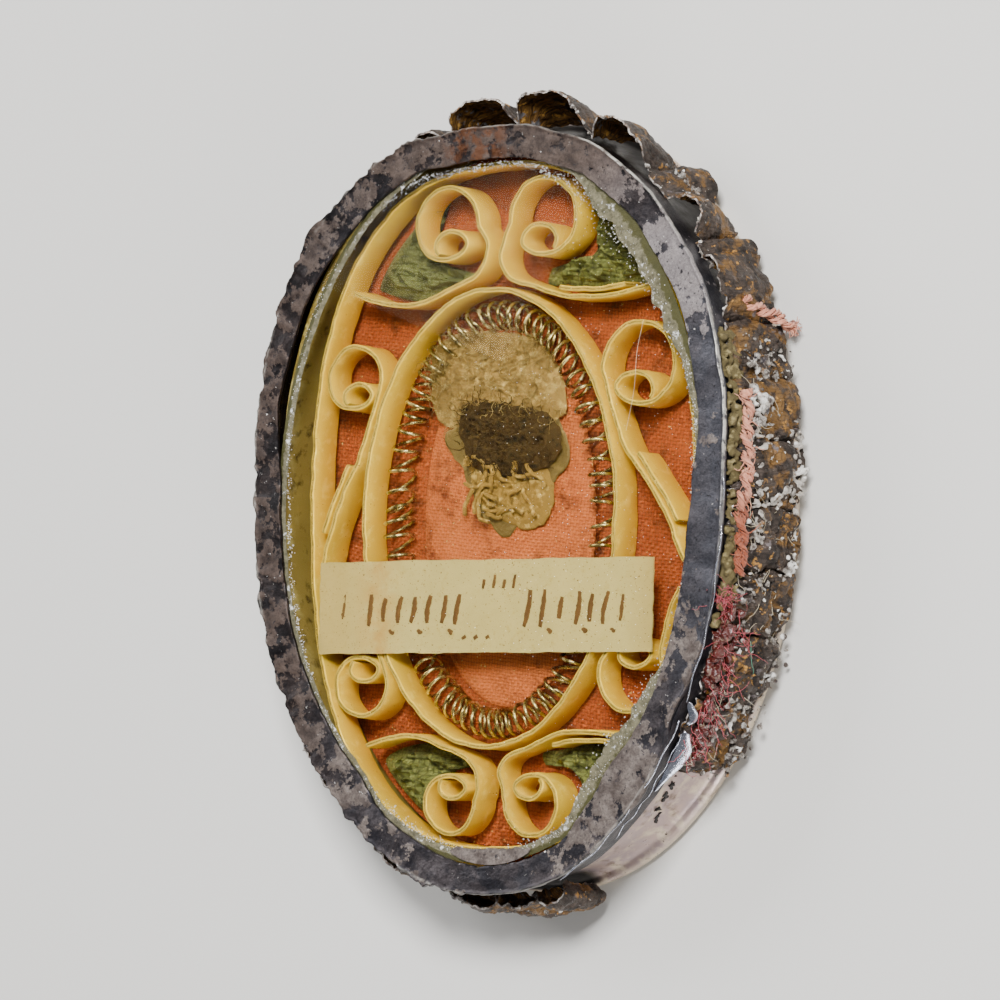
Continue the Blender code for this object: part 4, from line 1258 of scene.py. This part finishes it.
def stand_strip(name, node, path, finishes, closed=False, seed=0.0):
    """Stand a paper strip on edge along a path, a little wavy and leaning."""
    count = len(path) if closed else len(path) - 1
    height = STRIP_TOP - STRIP_BOTTOM

    def place(column, row):
        index = column % len(path)
        spot, share = path[index], row / STRIP_ROWS
        across = sideways(path, index, closed)
        lean = 0.12 * MM * wander((spot.x, spot.y, seed * MM), 3.0 * MM)
        flare = 0.05 * MM * wander((spot.y, spot.x, seed * MM), 1.2 * MM) * share * share
        wave = 0.09 * MM * (wander((spot.x, spot.y, (seed + 7) * MM), 1.1 * MM) - 0.7)
        dent = 0.035 * MM * wander((spot.x, spot.y, share * 2 * MM + seed * MM), 0.8 * MM)
        flat = spot + across * (lean * (share - 0.4) + flare + dent)
        return Vector((flat.x, flat.y, STRIP_BOTTOM + share * height + wave * share))

    strip = lay_grid(name, count, STRIP_ROWS, place, (path_length(path), height))
    if closed:
        weld(strip)
    for finish in finishes:
        strip.data.materials.append(finish)
    shell = len(strip.data.vertices)
    change(strip, "SOLIDIFY", thickness=PAPER_THICKNESS, offset=0.0, use_even_offset=True,
           material_offset_rim=1)
    mark_points(strip, "side", [-1.0] * shell + [1.0] * shell)
    change(strip, "BEVEL", width=0.035 * MM, segments=1, limit_method="ANGLE",
           angle_limit=math.radians(50))
    smooth_by_angle(strip, 40)
    return fit_out(strip, "gilt_paper", *finishes, replaces=[node] if node else [])


def make_strips(face, edge):
    finishes = (face, edge)
    rims = [("border_strip", border_point), ("medallion_strip", medallion_strip_point)]
    for node, outline in rims:
        corners = [outline(3.0 * step) for step in range(120)]
        stand_strip("gilt_" + node, node, smooth_path(corners, STRIP_STEP, closed=True), finishes, True)
    tails = {}
    rings = []
    for seed, (node, middle, radius_share, leave_angle, winding, tail) in enumerate(SCROLLS):
        path, curl_length = scroll_path(middle, radius_share, leave_angle, winding, tail)
        stand_strip("gilt_" + node, node, path, finishes, seed=seed + 1.0)
        tails[node] = path[curl_length - 1:]
        rings.append((between(*middle), radius_share * room_round(between(*middle))))
    for node, host, first, last, side in FILLERS:
        tail = tails[host]
        stretch = range(int(first * len(tail)), int(last * len(tail)) + 1)
        path = [tail[index] + sideways(tail, index) * side * STRIP_PITCH for index in stretch]
        stand_strip("gilt_" + node, node, path, finishes, seed=20.0 + first)
    return rings


def make_patches(silk, rings):
    """Green silk, crumpled into the pockets between the scrolls."""
    for number, (node, outline) in enumerate(PATCHES):
        corners = [between(angle, share) for angle, share in outline]
        rim = []
        for spot in smooth_path(corners, 0.16 * MM, closed=True):
            for middle, radius in rings:
                away = spot - middle
                if away.length < radius + 0.3 * MM:
                    spot = middle + away.normalized() * (radius + 0.3 * MM)
            rim.append(spot)
        bottom = GROUND_TOP + 0.03 * MM
        profile = crowned(bottom, 0.08 * MM, bottom + 0.5 * MM, 44)

        def crumple(flat, share, number=number):
            spot = Vector((flat.x, flat.y, number * 5 * MM))
            fold = abs(wander(spot + wander_vector(spot, 0.9 * MM) * 0.4 * MM, 1.15 * MM, 2))
            small = abs(wander(spot, 0.45 * MM, 2))
            fine = wander((flat.x, flat.y, number * 3 * MM), 0.16 * MM)
            rise = 1.5 * MM * (0.36 - fold) + 0.6 * MM * (0.26 - small) + 0.04 * MM * fine
            return max(rise, -0.45 * MM) * ease((1.0 - share) / 0.2)

        piece = fan(node.replace("green_silk", "green_silk_scrap"), rim, profile, crumple)
        fit_out(piece, "green_silk", silk, replaces=[node])


def make_coil(wire):
    """Fine wire wound round an oval between the medallion and its strip."""
    half_width = (MEDALLION_HALF_WIDTH + MEDALLION_STRIP_HALF_WIDTH - STRIP_THICKNESS / 2) / 2
    half_height = (MEDALLION_HALF_HEIGHT + MEDALLION_STRIP_HALF_HEIGHT - STRIP_THICKNESS / 2) / 2
    middle = GROUND_TOP + COIL_RADIUS + 2 * COIL_WIRE_RADIUS
    path = []
    for step in range(COIL_TURNS * COIL_STEPS):
        turn = step / COIL_STEPS
        slack = noise.noise(Vector((turn * 0.37, 1.5, 0.0)))
        angle = 360.0 * (turn + 0.75 * slack) / COIL_TURNS
        base = oval(angle, half_width, half_height, MEDALLION_MIDDLE)
        aside = Vector((math.cos(math.radians(angle)) * half_height,
                        math.sin(math.radians(angle)) * half_width)).normalized()
        along = Vector((-aside.y, aside.x))
        reach = COIL_RADIUS * (1.0 + 0.16 * noise.noise(Vector((turn * 0.9, 4.5, 0.0))))
        wind = 2 * math.pi * turn
        swing = 1.0 + 1.6 * noise.noise(Vector((turn * 0.21, 8.5, 0.0)))
        lean = 0.2 * MM * math.cos(wind + 0.8 * slack) * swing
        flat = base + aside * reach * math.cos(wind) + along * lean
        path.append(Vector((flat.x, flat.y, middle + reach * math.sin(wind))))
    coil = tubes("silver_wire_coil", [path], COIL_WIRE_RADIUS, 8, closed=True)
    fit_out(coil, "coil_wire", wire, replaces=["wire_coil"])


def fibre(rng, start, heading, length, curl, steps=14, taper=True):
    """A short thread that wanders off from its start."""
    path, spot, way = [], start.copy(), heading.normalized()
    for step in range(steps + 1):
        share = step / steps
        path.append((*spot, 1.0 - 0.6 * share if taper else 1.0))
        turn = Vector((rng.uniform(-1, 1), rng.uniform(-1, 1), rng.uniform(-0.6, 0.6)))
        way = (way + turn * curl).normalized()
        spot = spot + way * (length / steps)
    return path


def keep_above(paths, floor, ceiling):
    """Let threads lie on what is under them and stay below what is over them."""
    return [[(x, y, min(max(z, floor), ceiling), r) for x, y, z, r in path] for path in paths]


def spread(rng, outline, count):
    """Random places inside an outline of (x, y) places in millimetres."""
    middle = sum((Vector(spot) for spot in outline), Vector((0.0, 0.0))) / len(outline)
    spots = []
    while len(spots) < count:
        index = rng.randrange(len(outline))
        first, second = Vector(outline[index]), Vector(outline[(index + 1) % len(outline)])
        edge = first.lerp(second, rng.random())
        spots.append(middle.lerp(edge, rng.random() ** 0.5) * MM)
    return spots


def strew(rng, outline, count, floor, heights, climbs, lengths, curl):
    """Short fibres that start at random places in an outline, sizes in mm."""
    strands = []
    for spot in spread(rng, outline, count):
        start = Vector((spot.x, spot.y, floor + rng.uniform(*heights) * MM))
        heading = toss(rng, (-1, 1), (-1, 1), climbs)
        strands.append(fibre(rng, start, heading, rng.uniform(*lengths) * MM, curl))
    return strands


def make_relic(paper, leaf, lump, wool, cream):
    """Brown leaf and paper, a dark lump, matted wool and thick cream threads."""
    rng = random.Random(11)
    floor = MEDALLION_HIGH.z + 0.02 * MM
    sheets = [
        ("leaf_scrap", LEAF_OUTLINE, leaf, 0.0, 0.12, [(1.3, -0.35)]),
        ("paper_scrap", WOOL_OUTLINE, paper, 0.06, 0.4, [(0.9, -0.5), (0.3, -0.2)]),
    ]
    for node, outline, finish, raised, height, bumps in sheets:
        sheet = mound("relic_" + node, outline, floor + raised * MM, height * MM, bumps)
        fit_out(sheet, "scrap_paper", finish, replaces=[node])

    core = mound("core", LUMP_OUTLINE, floor + 0.3 * MM, 0.62 * MM, [(0.7, -0.6), (0.22, -0.3)])
    strands = strew(rng, LUMP_OUTLINE, LUMP_STRANDS, floor, (0.6, 0.95), (-0.2, 0.4), (0.5, 1.5), 0.6)
    strands = keep_above(strands, floor, LABEL_LOW.z - 0.1 * MM)
    dark = join("relic_lump", [core, tubes("strands", strands, 0.035 * MM, 4)])
    fit_out(smooth_by_angle(dark, 70), "relic", lump, replaces=["relic"])

    fluff = strew(rng, WOOL_OUTLINE, WOOL_STRANDS, floor, (0.25, 0.6), (-0.1, 0.5), (0.7, 1.9), 0.55)
    fluff = keep_above(fluff, floor + 0.1 * MM, floor + 1.15 * MM)
    fit_out(tubes("relic_wool", fluff, 0.022 * MM, 4), "relic", wool)

    curls = []
    for spot in spread(rng, CREAM_OUTLINE, CREAM_CURLS):
        start = Vector((spot.x, spot.y, floor + rng.uniform(0.25, 0.5) * MM))
        turn = rng.uniform(0, 2 * math.pi)
        heading = Vector((math.cos(turn), math.sin(turn), 0.25))
        curls.append(fibre(rng, start, heading, rng.uniform(1.6, 2.8) * MM, 0.4, 22, taper=False))
    low, high = Vector((-3.1, -1.4)) * MM, Vector((2.3, 2.5)) * MM
    curls = [[(min(max(x, low.x), high.x),
               min(max(y, low.y + 0.3 * abs(x + 0.4 * MM)), high.y), z, r)
              for x, y, z, r in path] for path in curls]
    curls = keep_above(curls, floor + 0.14 * MM, floor + 0.7 * MM)
    pad = mound("pad", CREAM_OUTLINE, floor + 0.04 * MM, 0.3 * MM, [(0.5, -0.3)], rings=24)
    pale = join("relic_cream_threads", [tubes("curls", curls, 0.12 * MM, 7), pad])
    fit_out(smooth_by_angle(pale, 70), "relic", cream)


def label_height(x, y):
    """Height of the wavy paper label at a place."""
    swell = wander((x, y * 0.4, 12 * MM), 3.2 * MM, 2)
    return (LABEL_LOW.z + LABEL_HIGH.z) / 2 + 0.02 * MM + 0.05 * MM * swell


def make_label(paper, ink):
    half_length = (LABEL_HIGH.x - LABEL_LOW.x) / 2
    half_width, tilt = LABEL_HALF_WIDTH, LABEL_TILT
    middle = (LABEL_LOW + LABEL_HIGH) / 2
    columns, rows = 150, 34

    def on_label(x, y):
        return Vector((middle.x + x * math.cos(tilt) - y * math.sin(tilt),
                       middle.y + x * math.sin(tilt) + y * math.cos(tilt)))

    def place(column, row):
        across, up = 2 * column / columns - 1, 2 * row / rows - 1
        end = 0.12 * MM * wander((0.0, up * half_width, 3 * MM), 0.9 * MM) * abs(across) ** 8
        side = 0.05 * MM * wander((across * half_length, up * 5 * MM, 0.0), 1.1 * MM) * abs(up) ** 6
        flat = on_label(across * half_length + end, up * half_width + side)
        curl = 0.06 * MM * abs(across) ** 12
        return Vector((flat.x, flat.y, label_height(flat.x, flat.y) + curl))

    label = lay_grid("paper_strip_label", columns, rows, place, (2 * half_length, 2 * half_width))
    change(label, "SOLIDIFY", thickness=0.09 * MM, offset=0.0)
    smooth_by_angle(label, 40)
    fit_out(label, "label_paper", paper, replaces=["paper_label"])
    make_ink(on_label, ink, half_length)


def make_ink(on_label, ink, half_length):
    """Rows of plain pen strokes: slanted ticks and short dashes, no letters."""
    rng = random.Random(5)
    strokes = []
    for start, count, tall in TICK_GROUPS:
        for number in range(count):
            x = (start + 0.088 * number) * half_length + rng.uniform(-0.08, 0.08) * MM
            height = tall * MM * rng.uniform(0.6, 1.0)
            slant, bow = rng.uniform(0.1, 0.25), rng.uniform(-0.12, 0.12) * MM
            tick = []
            for step in range(17):
                y = (step / 16 - 0.5) * height - 0.15 * MM
                belly = math.sin(math.pi * step / 16)
                wide = (0.75 + 0.3 * belly) * rng.uniform(0.88, 1.12)
                tick.append((x + y * slant + bow * belly, y, wide))
            strokes.append(tick)
            if number % 2:
                strokes.append([
                    (x + (0.3 + 0.035 * step) * MM, (0.05 * math.sin(step * 0.7) - 1.35) * MM,
                     0.4 + 0.45 * math.sin(math.pi * step / 10)) for step in range(11)])
    for number in range(4):
        x = 0.06 * number * half_length
        strokes.append([(x + 0.02 * MM * step, (0.95 + 0.12 * step) * MM, 0.6)
                        for step in range(5 + 2 * (number % 2))])
    for number in range(3):
        x = (-0.12 + 0.07 * number) * half_length
        strokes.append([(x + 0.05 * MM * step, (-1.75 + 0.03 * step) * MM, 0.6) for step in range(6)])
    paths = [[(*on_label(x, y), 0.0, wide) for x, y, wide in points] for points in strokes]
    piece = tubes("ink_strokes", paths, 0.16 * MM, 6)
    for vert in piece.data.vertices:
        blot = wander_vector(vert.co, 0.25 * MM) * 0.05 * MM
        top = label_height(vert.co.x, vert.co.y) + 0.045 * MM
        vert.co = Vector((vert.co.x + blot.x, vert.co.y + blot.y, top + vert.co.z * 0.07))
    fit_out(piece, "label_paper", ink)


def fold_foot(angle):
    """Place where the braid's folds meet the case, seen from the front."""
    return on_case(angle, -0.3 * WALL_INSET, 0.7 * BRAID_TOP).to_2d()


def braid_course():
    """The braid's way round the case; z holds how far it is tucked in, from 0 to 1 mm."""
    rng = random.Random(3)
    folds = list(PLEATS)
    while folds[-1][1] < BRAID_END - 4:
        start = folds[-1][1] - rng.uniform(0.0, 2.0)
        stop = min(start + rng.uniform(8, 15), BRAID_END)
        folds.append((start, stop, rng.uniform(0.7, 1.25), "flat"))
    points = []
    for start, stop, stand, kind in folds:
        for share, reach in FOLD_COURSES[kind]:
            outset = stand * reach * MM - 0.3 * WALL_INSET
            flat = on_case(start + (stop - start) * share, outset, 0.7 * BRAID_TOP)
            points.append(Vector((flat.x, flat.y, (1.0 - min(1.0, reach)) * MM)))
    return points


def make_braid(outside, inside, edge):
    """Ribbon that stands in the groove and is folded over itself in uneven pleats."""
    path = smooth_path(braid_course(), BRAID_STEP)
    depths = [(spot.to_2d() - fold_foot(case_angle(spot))).length for spot in path]

    def place(column, row):
        spot, share = path[column], row / BRAID_ROWS
        angle, along = case_angle(spot), column * BRAID_STEP
        way = outward(angle)
        gathered = max(0.0, spot.z / MM) ** 1.5
        flare = along_table(BRAID_FLARE, angle)
        lean = (1.0 - flare) + 2.0 * flare * share + 0.25 * math.sin(math.pi * share)
        low = BRAID_BOTTOM + 0.9 * MM * gathered + 0.25 * MM * wander((along, 0.0, 0.0), 1.1 * MM)
        high = along_table(BRAID_TOPS, angle) * MM - 1.0 * MM * gathered
        high += (0.3 * MM * wander((along, 9 * MM, 0.0), 1.3 * MM)
                 + 0.14 * MM * wander((along, 5 * MM, 0.0), 0.35 * MM))
        z = low + (high - low) * share
        flat = Vector((spot.x, spot.y, z)) + way * depths[column] * (lean - 1.0)
        flat -= way * (along_table(BRAID_TUCK, angle) * MM * ease((share - 0.72) / 0.28))
        rough = along_table(BRAID_CRUSH, angle)
        crush = wander_vector((flat.x, flat.y, z * 0.8), 1.3 * MM) * 0.22 * MM * (0.5 + rough)
        ridge = (abs(wander((flat.x, flat.y, z), 0.75 * MM, 2)) - 0.25) * 0.42 * MM * rough
        crumple = wander_vector((flat.x, flat.y, z), 0.3 * MM) * 0.07 * MM
        strands = 0.012 * MM * math.sin(share * BRAID_ROWS * math.pi)
        done = flat + crush + crumple - way * (ridge + strands)
        done.z = max(done.z, 0.25 * MM)
        return done

    size = (path_length(path), BRAID_TOP - BRAID_BOTTOM)
    braid = lay_grid("folded_metal_braid", len(path) - 1, BRAID_ROWS, place, size)
    for finish in (outside, inside, edge):
        braid.data.materials.append(finish)
    change(braid, "SOLIDIFY", thickness=BRAID_THICKNESS, offset=0.0,
           material_offset=1, material_offset_rim=2)
    smooth_by_angle(braid, 45)
    fit_out(braid, "metal_braid", outside, inside, edge, replaces=["pleated_braid"])
    return [place(column, BRAID_ROWS) for column in range(len(path))]


def make_crust(chalk, lip):
    """Corrosion on the braid: beads on its edge, heaps and fine grains on its right side."""
    rng = random.Random(23)
    spots = []
    for angle, z, spread_angle, spread_z, outset, count, size in CRUST_HEAPS:
        for _ in range(count):
            turn = rng.gauss(angle, spread_angle)
            height = min(max(rng.gauss(z, spread_z) * MM, 0.5 * MM), 5.9 * MM)
            place = on_case(turn, (outset + rng.gauss(0.0, 0.14)) * MM, height)
            spots.append((place, size * rng.uniform(0.45, 1.2) * MM))
    for place in lip:
        if rng.random() < 0.55 * along_table(BEADS_ON_EDGE, case_angle(place)):
            shift = toss(rng, *[(-1, 1)] * 3) * 0.06 * MM
            spots.append((place + shift, rng.uniform(0.05, 0.14) * MM))
    for _ in range(FINE_CRUST_GRAINS):
        angle, share = rng.uniform(-43, 22), rng.random()
        place = on_case(angle, rng.uniform(0.25, 0.95) * MM, BRAID_BOTTOM + share * 4.4 * MM)
        if wander(place, 1.5 * MM, 2) > 0.12:
            spots.append((place, rng.uniform(0.04, 0.16) * MM))
    fit_out(lumps("white_crust", spots, 0.075 * MM, 29), "metal_braid", chalk)


def make_putty(putty, specks):
    """Old yellow glue between the bezel and the braid, and black specks on the bare wall."""
    rng = random.Random(71)
    spots = []
    for _ in range(PUTTY_LUMPS):
        place = on_case(rng.uniform(-21, 23), rng.uniform(-0.3, 0.12) * MM, rng.uniform(4.9, 6.5) * MM)
        spots.append((place, rng.uniform(0.08, 0.26) * MM))
    fit_out(lumps("olive_putty", spots, 0.08 * MM, 73), "metal_braid", putty)
    spots = []
    for start, end in zip(BLACK_SPECKS, BLACK_SPECKS[1:]):
        for _ in range(26):
            share = rng.random()
            angle = share_between(start[0], end[0], share) + rng.gauss(0.0, 0.35)
            z = share_between(start[1], end[1], share) + rng.gauss(0.0, 0.1)
            if noise.noise(Vector((angle * 0.9, 3.0, 0.0))) > -0.25:
                place = on_case(angle, -WALL_INSET + 0.03 * MM, z * MM)
                spots.append((place, rng.uniform(0.04, 0.13) * MM))
    fit_out(lumps("black_specks", spots, 0.05 * MM, 75), "case_silver", specks)


def twist(course, rng):
    """Two plies of fine silk filaments, twisted about a course of points."""
    strands = []
    run = [0.0]
    for before, after in zip(course, course[1:]):
        run.append(run[-1] + (after - before).length)
    for ply in range(2):
        for filament in range(CORD_FILAMENTS):
            own = rng.uniform(0, 2 * math.pi)
            radius = (0.45 + 0.55 * (filament % 3) / 2) * 0.19 * MM
            strand = []
            for index, spot in enumerate(course):
                nearby = course[max(index - 1, 0)], course[min(index + 1, len(course) - 1)]
                along = (nearby[1] - nearby[0]).normalized()
                side = along.cross(Vector((0, 0, 1))).normalized()
                up = side.cross(along)

                def round_it(angle):
                    return side * math.cos(angle) + up * math.sin(angle)

                wind = 2 * math.pi * CORD_TWIST * run[index] + math.pi * ply
                inner = own + 2.5 * wind + 2 * math.pi * filament / CORD_FILAMENTS
                place = spot + round_it(wind) * CORD_PLY_RADIUS + round_it(inner) * radius
                strand.append((*place, 1.0))
            strands.append(strand)
    return strands


def make_cord(silk):
    """The long stretch of cord under the bezel, and the short end that hangs over the braid."""
    rng = random.Random(17)
    course = []
    height = BRAID_TOP + FIT_GAP + CORD_DIAMETER / 2
    for step in range(130):
        share = step / 129
        angle = CORD_START + (CORD_STOP - CORD_START) * share
        spot = on_case(angle, 0.32 * MM + 0.12 * MM * math.sin(step * 0.11), height)
        rise = 0.3 * MM + 0.2 * MM * math.sin(share * 5.5 + 0.4)
        course.append(spot + Vector((0.0, 0.0, rise)))
    strands = twist(course, rng)
    for _ in range(60):
        start = course[rng.randrange(len(course))] + jitter(rng, 0.3)
        heading = Vector((*toss(rng, (-1, 1), (-1, 1)), 0.2))
        strands.append(fibre(rng, start, heading, 0.9 * MM, 0.5))
    fit_out(tubes("pink_silk_cord", strands, 0.04 * MM, 5), "cord_silk", silk, replaces=["silk_cord"])

    root = on_case(CORD_END_ANGLE, 0.8 * MM, 3.1 * MM)
    course = []
    for step in range(-14, 25):
        run = CORD_END_LENGTH * step / 24
        bow = 0.25 * MM * math.sin(math.pi * max(step, 0) / 24)
        course.append(Vector((root.x + 0.16 * run + bow, root.y - 0.3 * run, root.z - 0.9 * run)))
    strands = twist(course, rng)
    for _ in range(40):
        start = course[-1] + jitter(rng, 0.2)
        strands.append(fibre(rng, start, Vector((0.5, -0.5, -0.4)), 0.6 * MM, 0.6, 8))
    strands = keep_above(strands, 0.1 * MM, BEZEL_TOP)
    end = tubes("pink_silk_cord_end", strands, 0.045 * MM, 5)
    fit_out(end, "cord_silk", silk, replaces=["silk_cord_end"])


def make_wax(wax):
    rng = random.Random(41)
    spots = []
    for _ in range(WAX_LUMPS):
        angle = rng.uniform(-42, -17)
        fall = abs(rng.gauss(0.0, 0.6)) * MM
        height = 6.2 * MM - fall - 0.9 * MM * ease((-24 - angle) / 16)
        place = on_case(angle, rng.uniform(-0.1, 0.75) * MM, height)
        spots.append((place, rng.uniform(0.08, 0.3) * MM))
    fit_out(lumps("dark_red_wax", spots, 0.07 * MM, 43), "red_wax", wax, replaces=["wax_remains"])


def stray_reach(angle):
    """How far outside the case the stray fibres start."""
    swell = 0.75 + 0.5 * max(0.0, math.cos(math.radians(angle - 85.0))) ** 2
    uneven = 1.0 + 0.35 * noise.noise(Vector((angle * 0.11, 0.5, 0.0)))
    return BRAID_STAND_LOW + (BRAID_STAND_HIGH - BRAID_STAND_LOW) * swell * uneven


def make_threads(red, pale, green):
    """Loose threads caught in the groove: a red tuft, pale fibres and one green one."""
    rng = random.Random(53)
    knot = on_case(-16.0, 0.05 * MM, 6.4 * MM)
    tuft = []
    for _ in range(60):
        start = knot + jitter(rng, 0.2)
        heading = toss(rng, (-0.3, 1.0), (-1, 1), (-0.8, 0.3))
        tuft.append(fibre(rng, start, heading, rng.uniform(0.6, 2.2) * MM, 0.7, 22))
    for _ in range(70):
        angle = rng.uniform(-40, -17)
        start = on_case(angle, rng.uniform(0.1, 0.9) * MM, rng.uniform(4.6, 6.4) * MM)
        heading = Vector((rng.uniform(-0.2, 0.4), -1.0, rng.uniform(-0.5, 0.2)))
        tuft.append(fibre(rng, start, heading, rng.uniform(0.8, 2.4) * MM, 0.5, 20))
    fit_out(tubes("red_threads", tuft, 0.02 * MM, 4), "cord_silk", red)
    strays = []
    for _ in range(80):
        angle = rng.uniform(-42, 16)
        start = on_case(angle, 0.9 * stray_reach(angle), rng.uniform(2.0, 5.6) * MM)
        heading = toss(rng, (-0.4, 0.3), (-1, 1), (-0.6, 0.5))
        strays.append(fibre(rng, start, heading, rng.uniform(0.6, 1.6) * MM, 0.3, 16))
    hair = [Vector((x * MM, y * MM, GLASS_TOP + 0.03 * MM)) for x, y in HAIR_ON_GLASS]
    strays.append([(*spot, 0.7) for spot in smooth_path(hair, 0.15 * MM)])
    fit_out(tubes("pale_fibres", strays, 0.016 * MM, 4), "cord_silk", pale)
    start = on_case(-21.0, 1.1 * MM, 4.6 * MM)
    lone = [fibre(rng, start, Vector((0.5, -0.8, -0.3)), 1.8 * MM, 0.35, 16)]
    fit_out(tubes("green_thread", lone, 0.025 * MM, 4), "cord_silk", green)


def add_camera():
    """Look down on the capsule as the photograph does."""
    turn, drop, roll = CAMERA_TURN, CAMERA_DROP, CAMERA_ROLL
    back = Vector((math.sin(turn) * math.cos(drop), math.sin(drop), math.cos(turn) * math.cos(drop)))
    level = Vector((math.cos(turn), 0.0, -math.sin(turn)))
    upright = back.cross(level)
    right = level * math.cos(roll) + upright * math.sin(roll)
    up = back.cross(right)
    place = CAMERA_AIM + back * CAMERA_DISTANCE + right * CAMERA_ASIDE + up * CAMERA_UP
    bpy.ops.object.camera_add(location=place)
    camera = bpy.context.object
    camera.name = "view_of_photo"
    camera.matrix_world = Matrix.Translation(place) @ Matrix((right, up, back)).transposed().to_4x4()
    camera.data.lens = CAMERA_LENS
    camera.data.sensor_width = 36.0
    camera.data.clip_start = 0.01
    bpy.context.scene.camera = camera


def add_light(name, place, size, power):
    bpy.ops.object.light_add(type="AREA", location=place)
    light = bpy.context.object
    light.name = name
    light.data.size = size
    light.data.energy = power
    light.rotation_euler = (-Vector(place)).to_track_quat("-Z", "Y").to_euler()


def add_studio():
    """Pale floor and soft light from large lamps."""
    stand_clear()
    bpy.ops.mesh.primitive_plane_add(size=FLOOR_SIZE, location=(0.0, 0.0, -0.02 * MM))
    floor = name_piece(bpy.context.object, "studio_floor")
    paper = Finish("studio_paper", Roughness=0.9)
    paper.tone = paper.blend(paper.grain(50.0), (214, 212, 207), (218, 216, 212))
    floor.data.materials.append(paper.done())
    world = bpy.data.worlds.new("studio_air")
    world.use_nodes = True
    air = world.node_tree.nodes["Background"].inputs
    air["Color"].default_value = (0.9, 0.92, 0.95, 1.0)
    air["Strength"].default_value = AIR_BRIGHTNESS
    bpy.context.scene.world = world
    for lamp in LAMPS:
        add_light(*lamp)


add_camera()
silver, pearl, foil = tarnished_silver(), pearly_silver(), bare_foil()
make_case(pearl, dull_lining())
make_bezel(silver, foil)
make_glass(old_glass())
make_grime(dust_and_painted_reflection(), plain("dust", (212, 210, 204), Roughness=0.6))
# Each silk's tones: base, painted highlight, and painted shade.
make_ground(woven_silk("red_silk_cloth", (134, 54, 26), (154, 74, 38), (78, 26, 12), 0.2))
make_medallion(woven_silk("pink_silk_cloth", (166, 80, 46), (188, 110, 74), (106, 38, 20), 0.18))
scroll_rings = make_strips(gilt_face(), gilt_edge())
make_patches(woven_silk("green_silk_cloth", (50, 64, 32), (124, 136, 94), (16, 22, 8), 0.22),
             scroll_rings)
make_coil(bright_wire())
make_relic(
    fibrous("brown_paper", (150, 128, 88), (110, 90, 58), (176, 158, 118)),
    fibrous("leaf_film", (104, 90, 58), (78, 66, 40), (132, 118, 82), 0.6, 0.45),
    fibrous("dark_matter", (38, 26, 12), (64, 46, 22), (18, 12, 6), 0.2),
    fibrous("dry_wool", (144, 127, 92), (98, 82, 52), (176, 163, 130), 0.3),
    fibrous("cream_thread", (144, 120, 70), (102, 80, 42), (174, 154, 108), 0.2),
)
make_label(label_paper(), plain("brown_ink", (92, 62, 36), Roughness=0.7))
edge_line = make_braid(corroded_braid(), gilt_braid(), braid_rim())
make_crust(corrosion_crust(), edge_line)
make_putty(fibrous("olive_putty", (96, 84, 44), (62, 52, 30), (140, 126, 84), 0.2),
           plain("black_crust", (40, 34, 30), Roughness=0.6))
make_cord(twisted_silk())
make_wax(sealing_wax())
make_threads(plain("red_thread", (186, 60, 72), Roughness=0.5, Sheen_Weight=0.3),
             plain("pale_fibre", (214, 200, 170), Roughness=0.5),
             plain("green_fibre", (70, 150, 120), Roughness=0.5))
add_studio()
stand_clear()
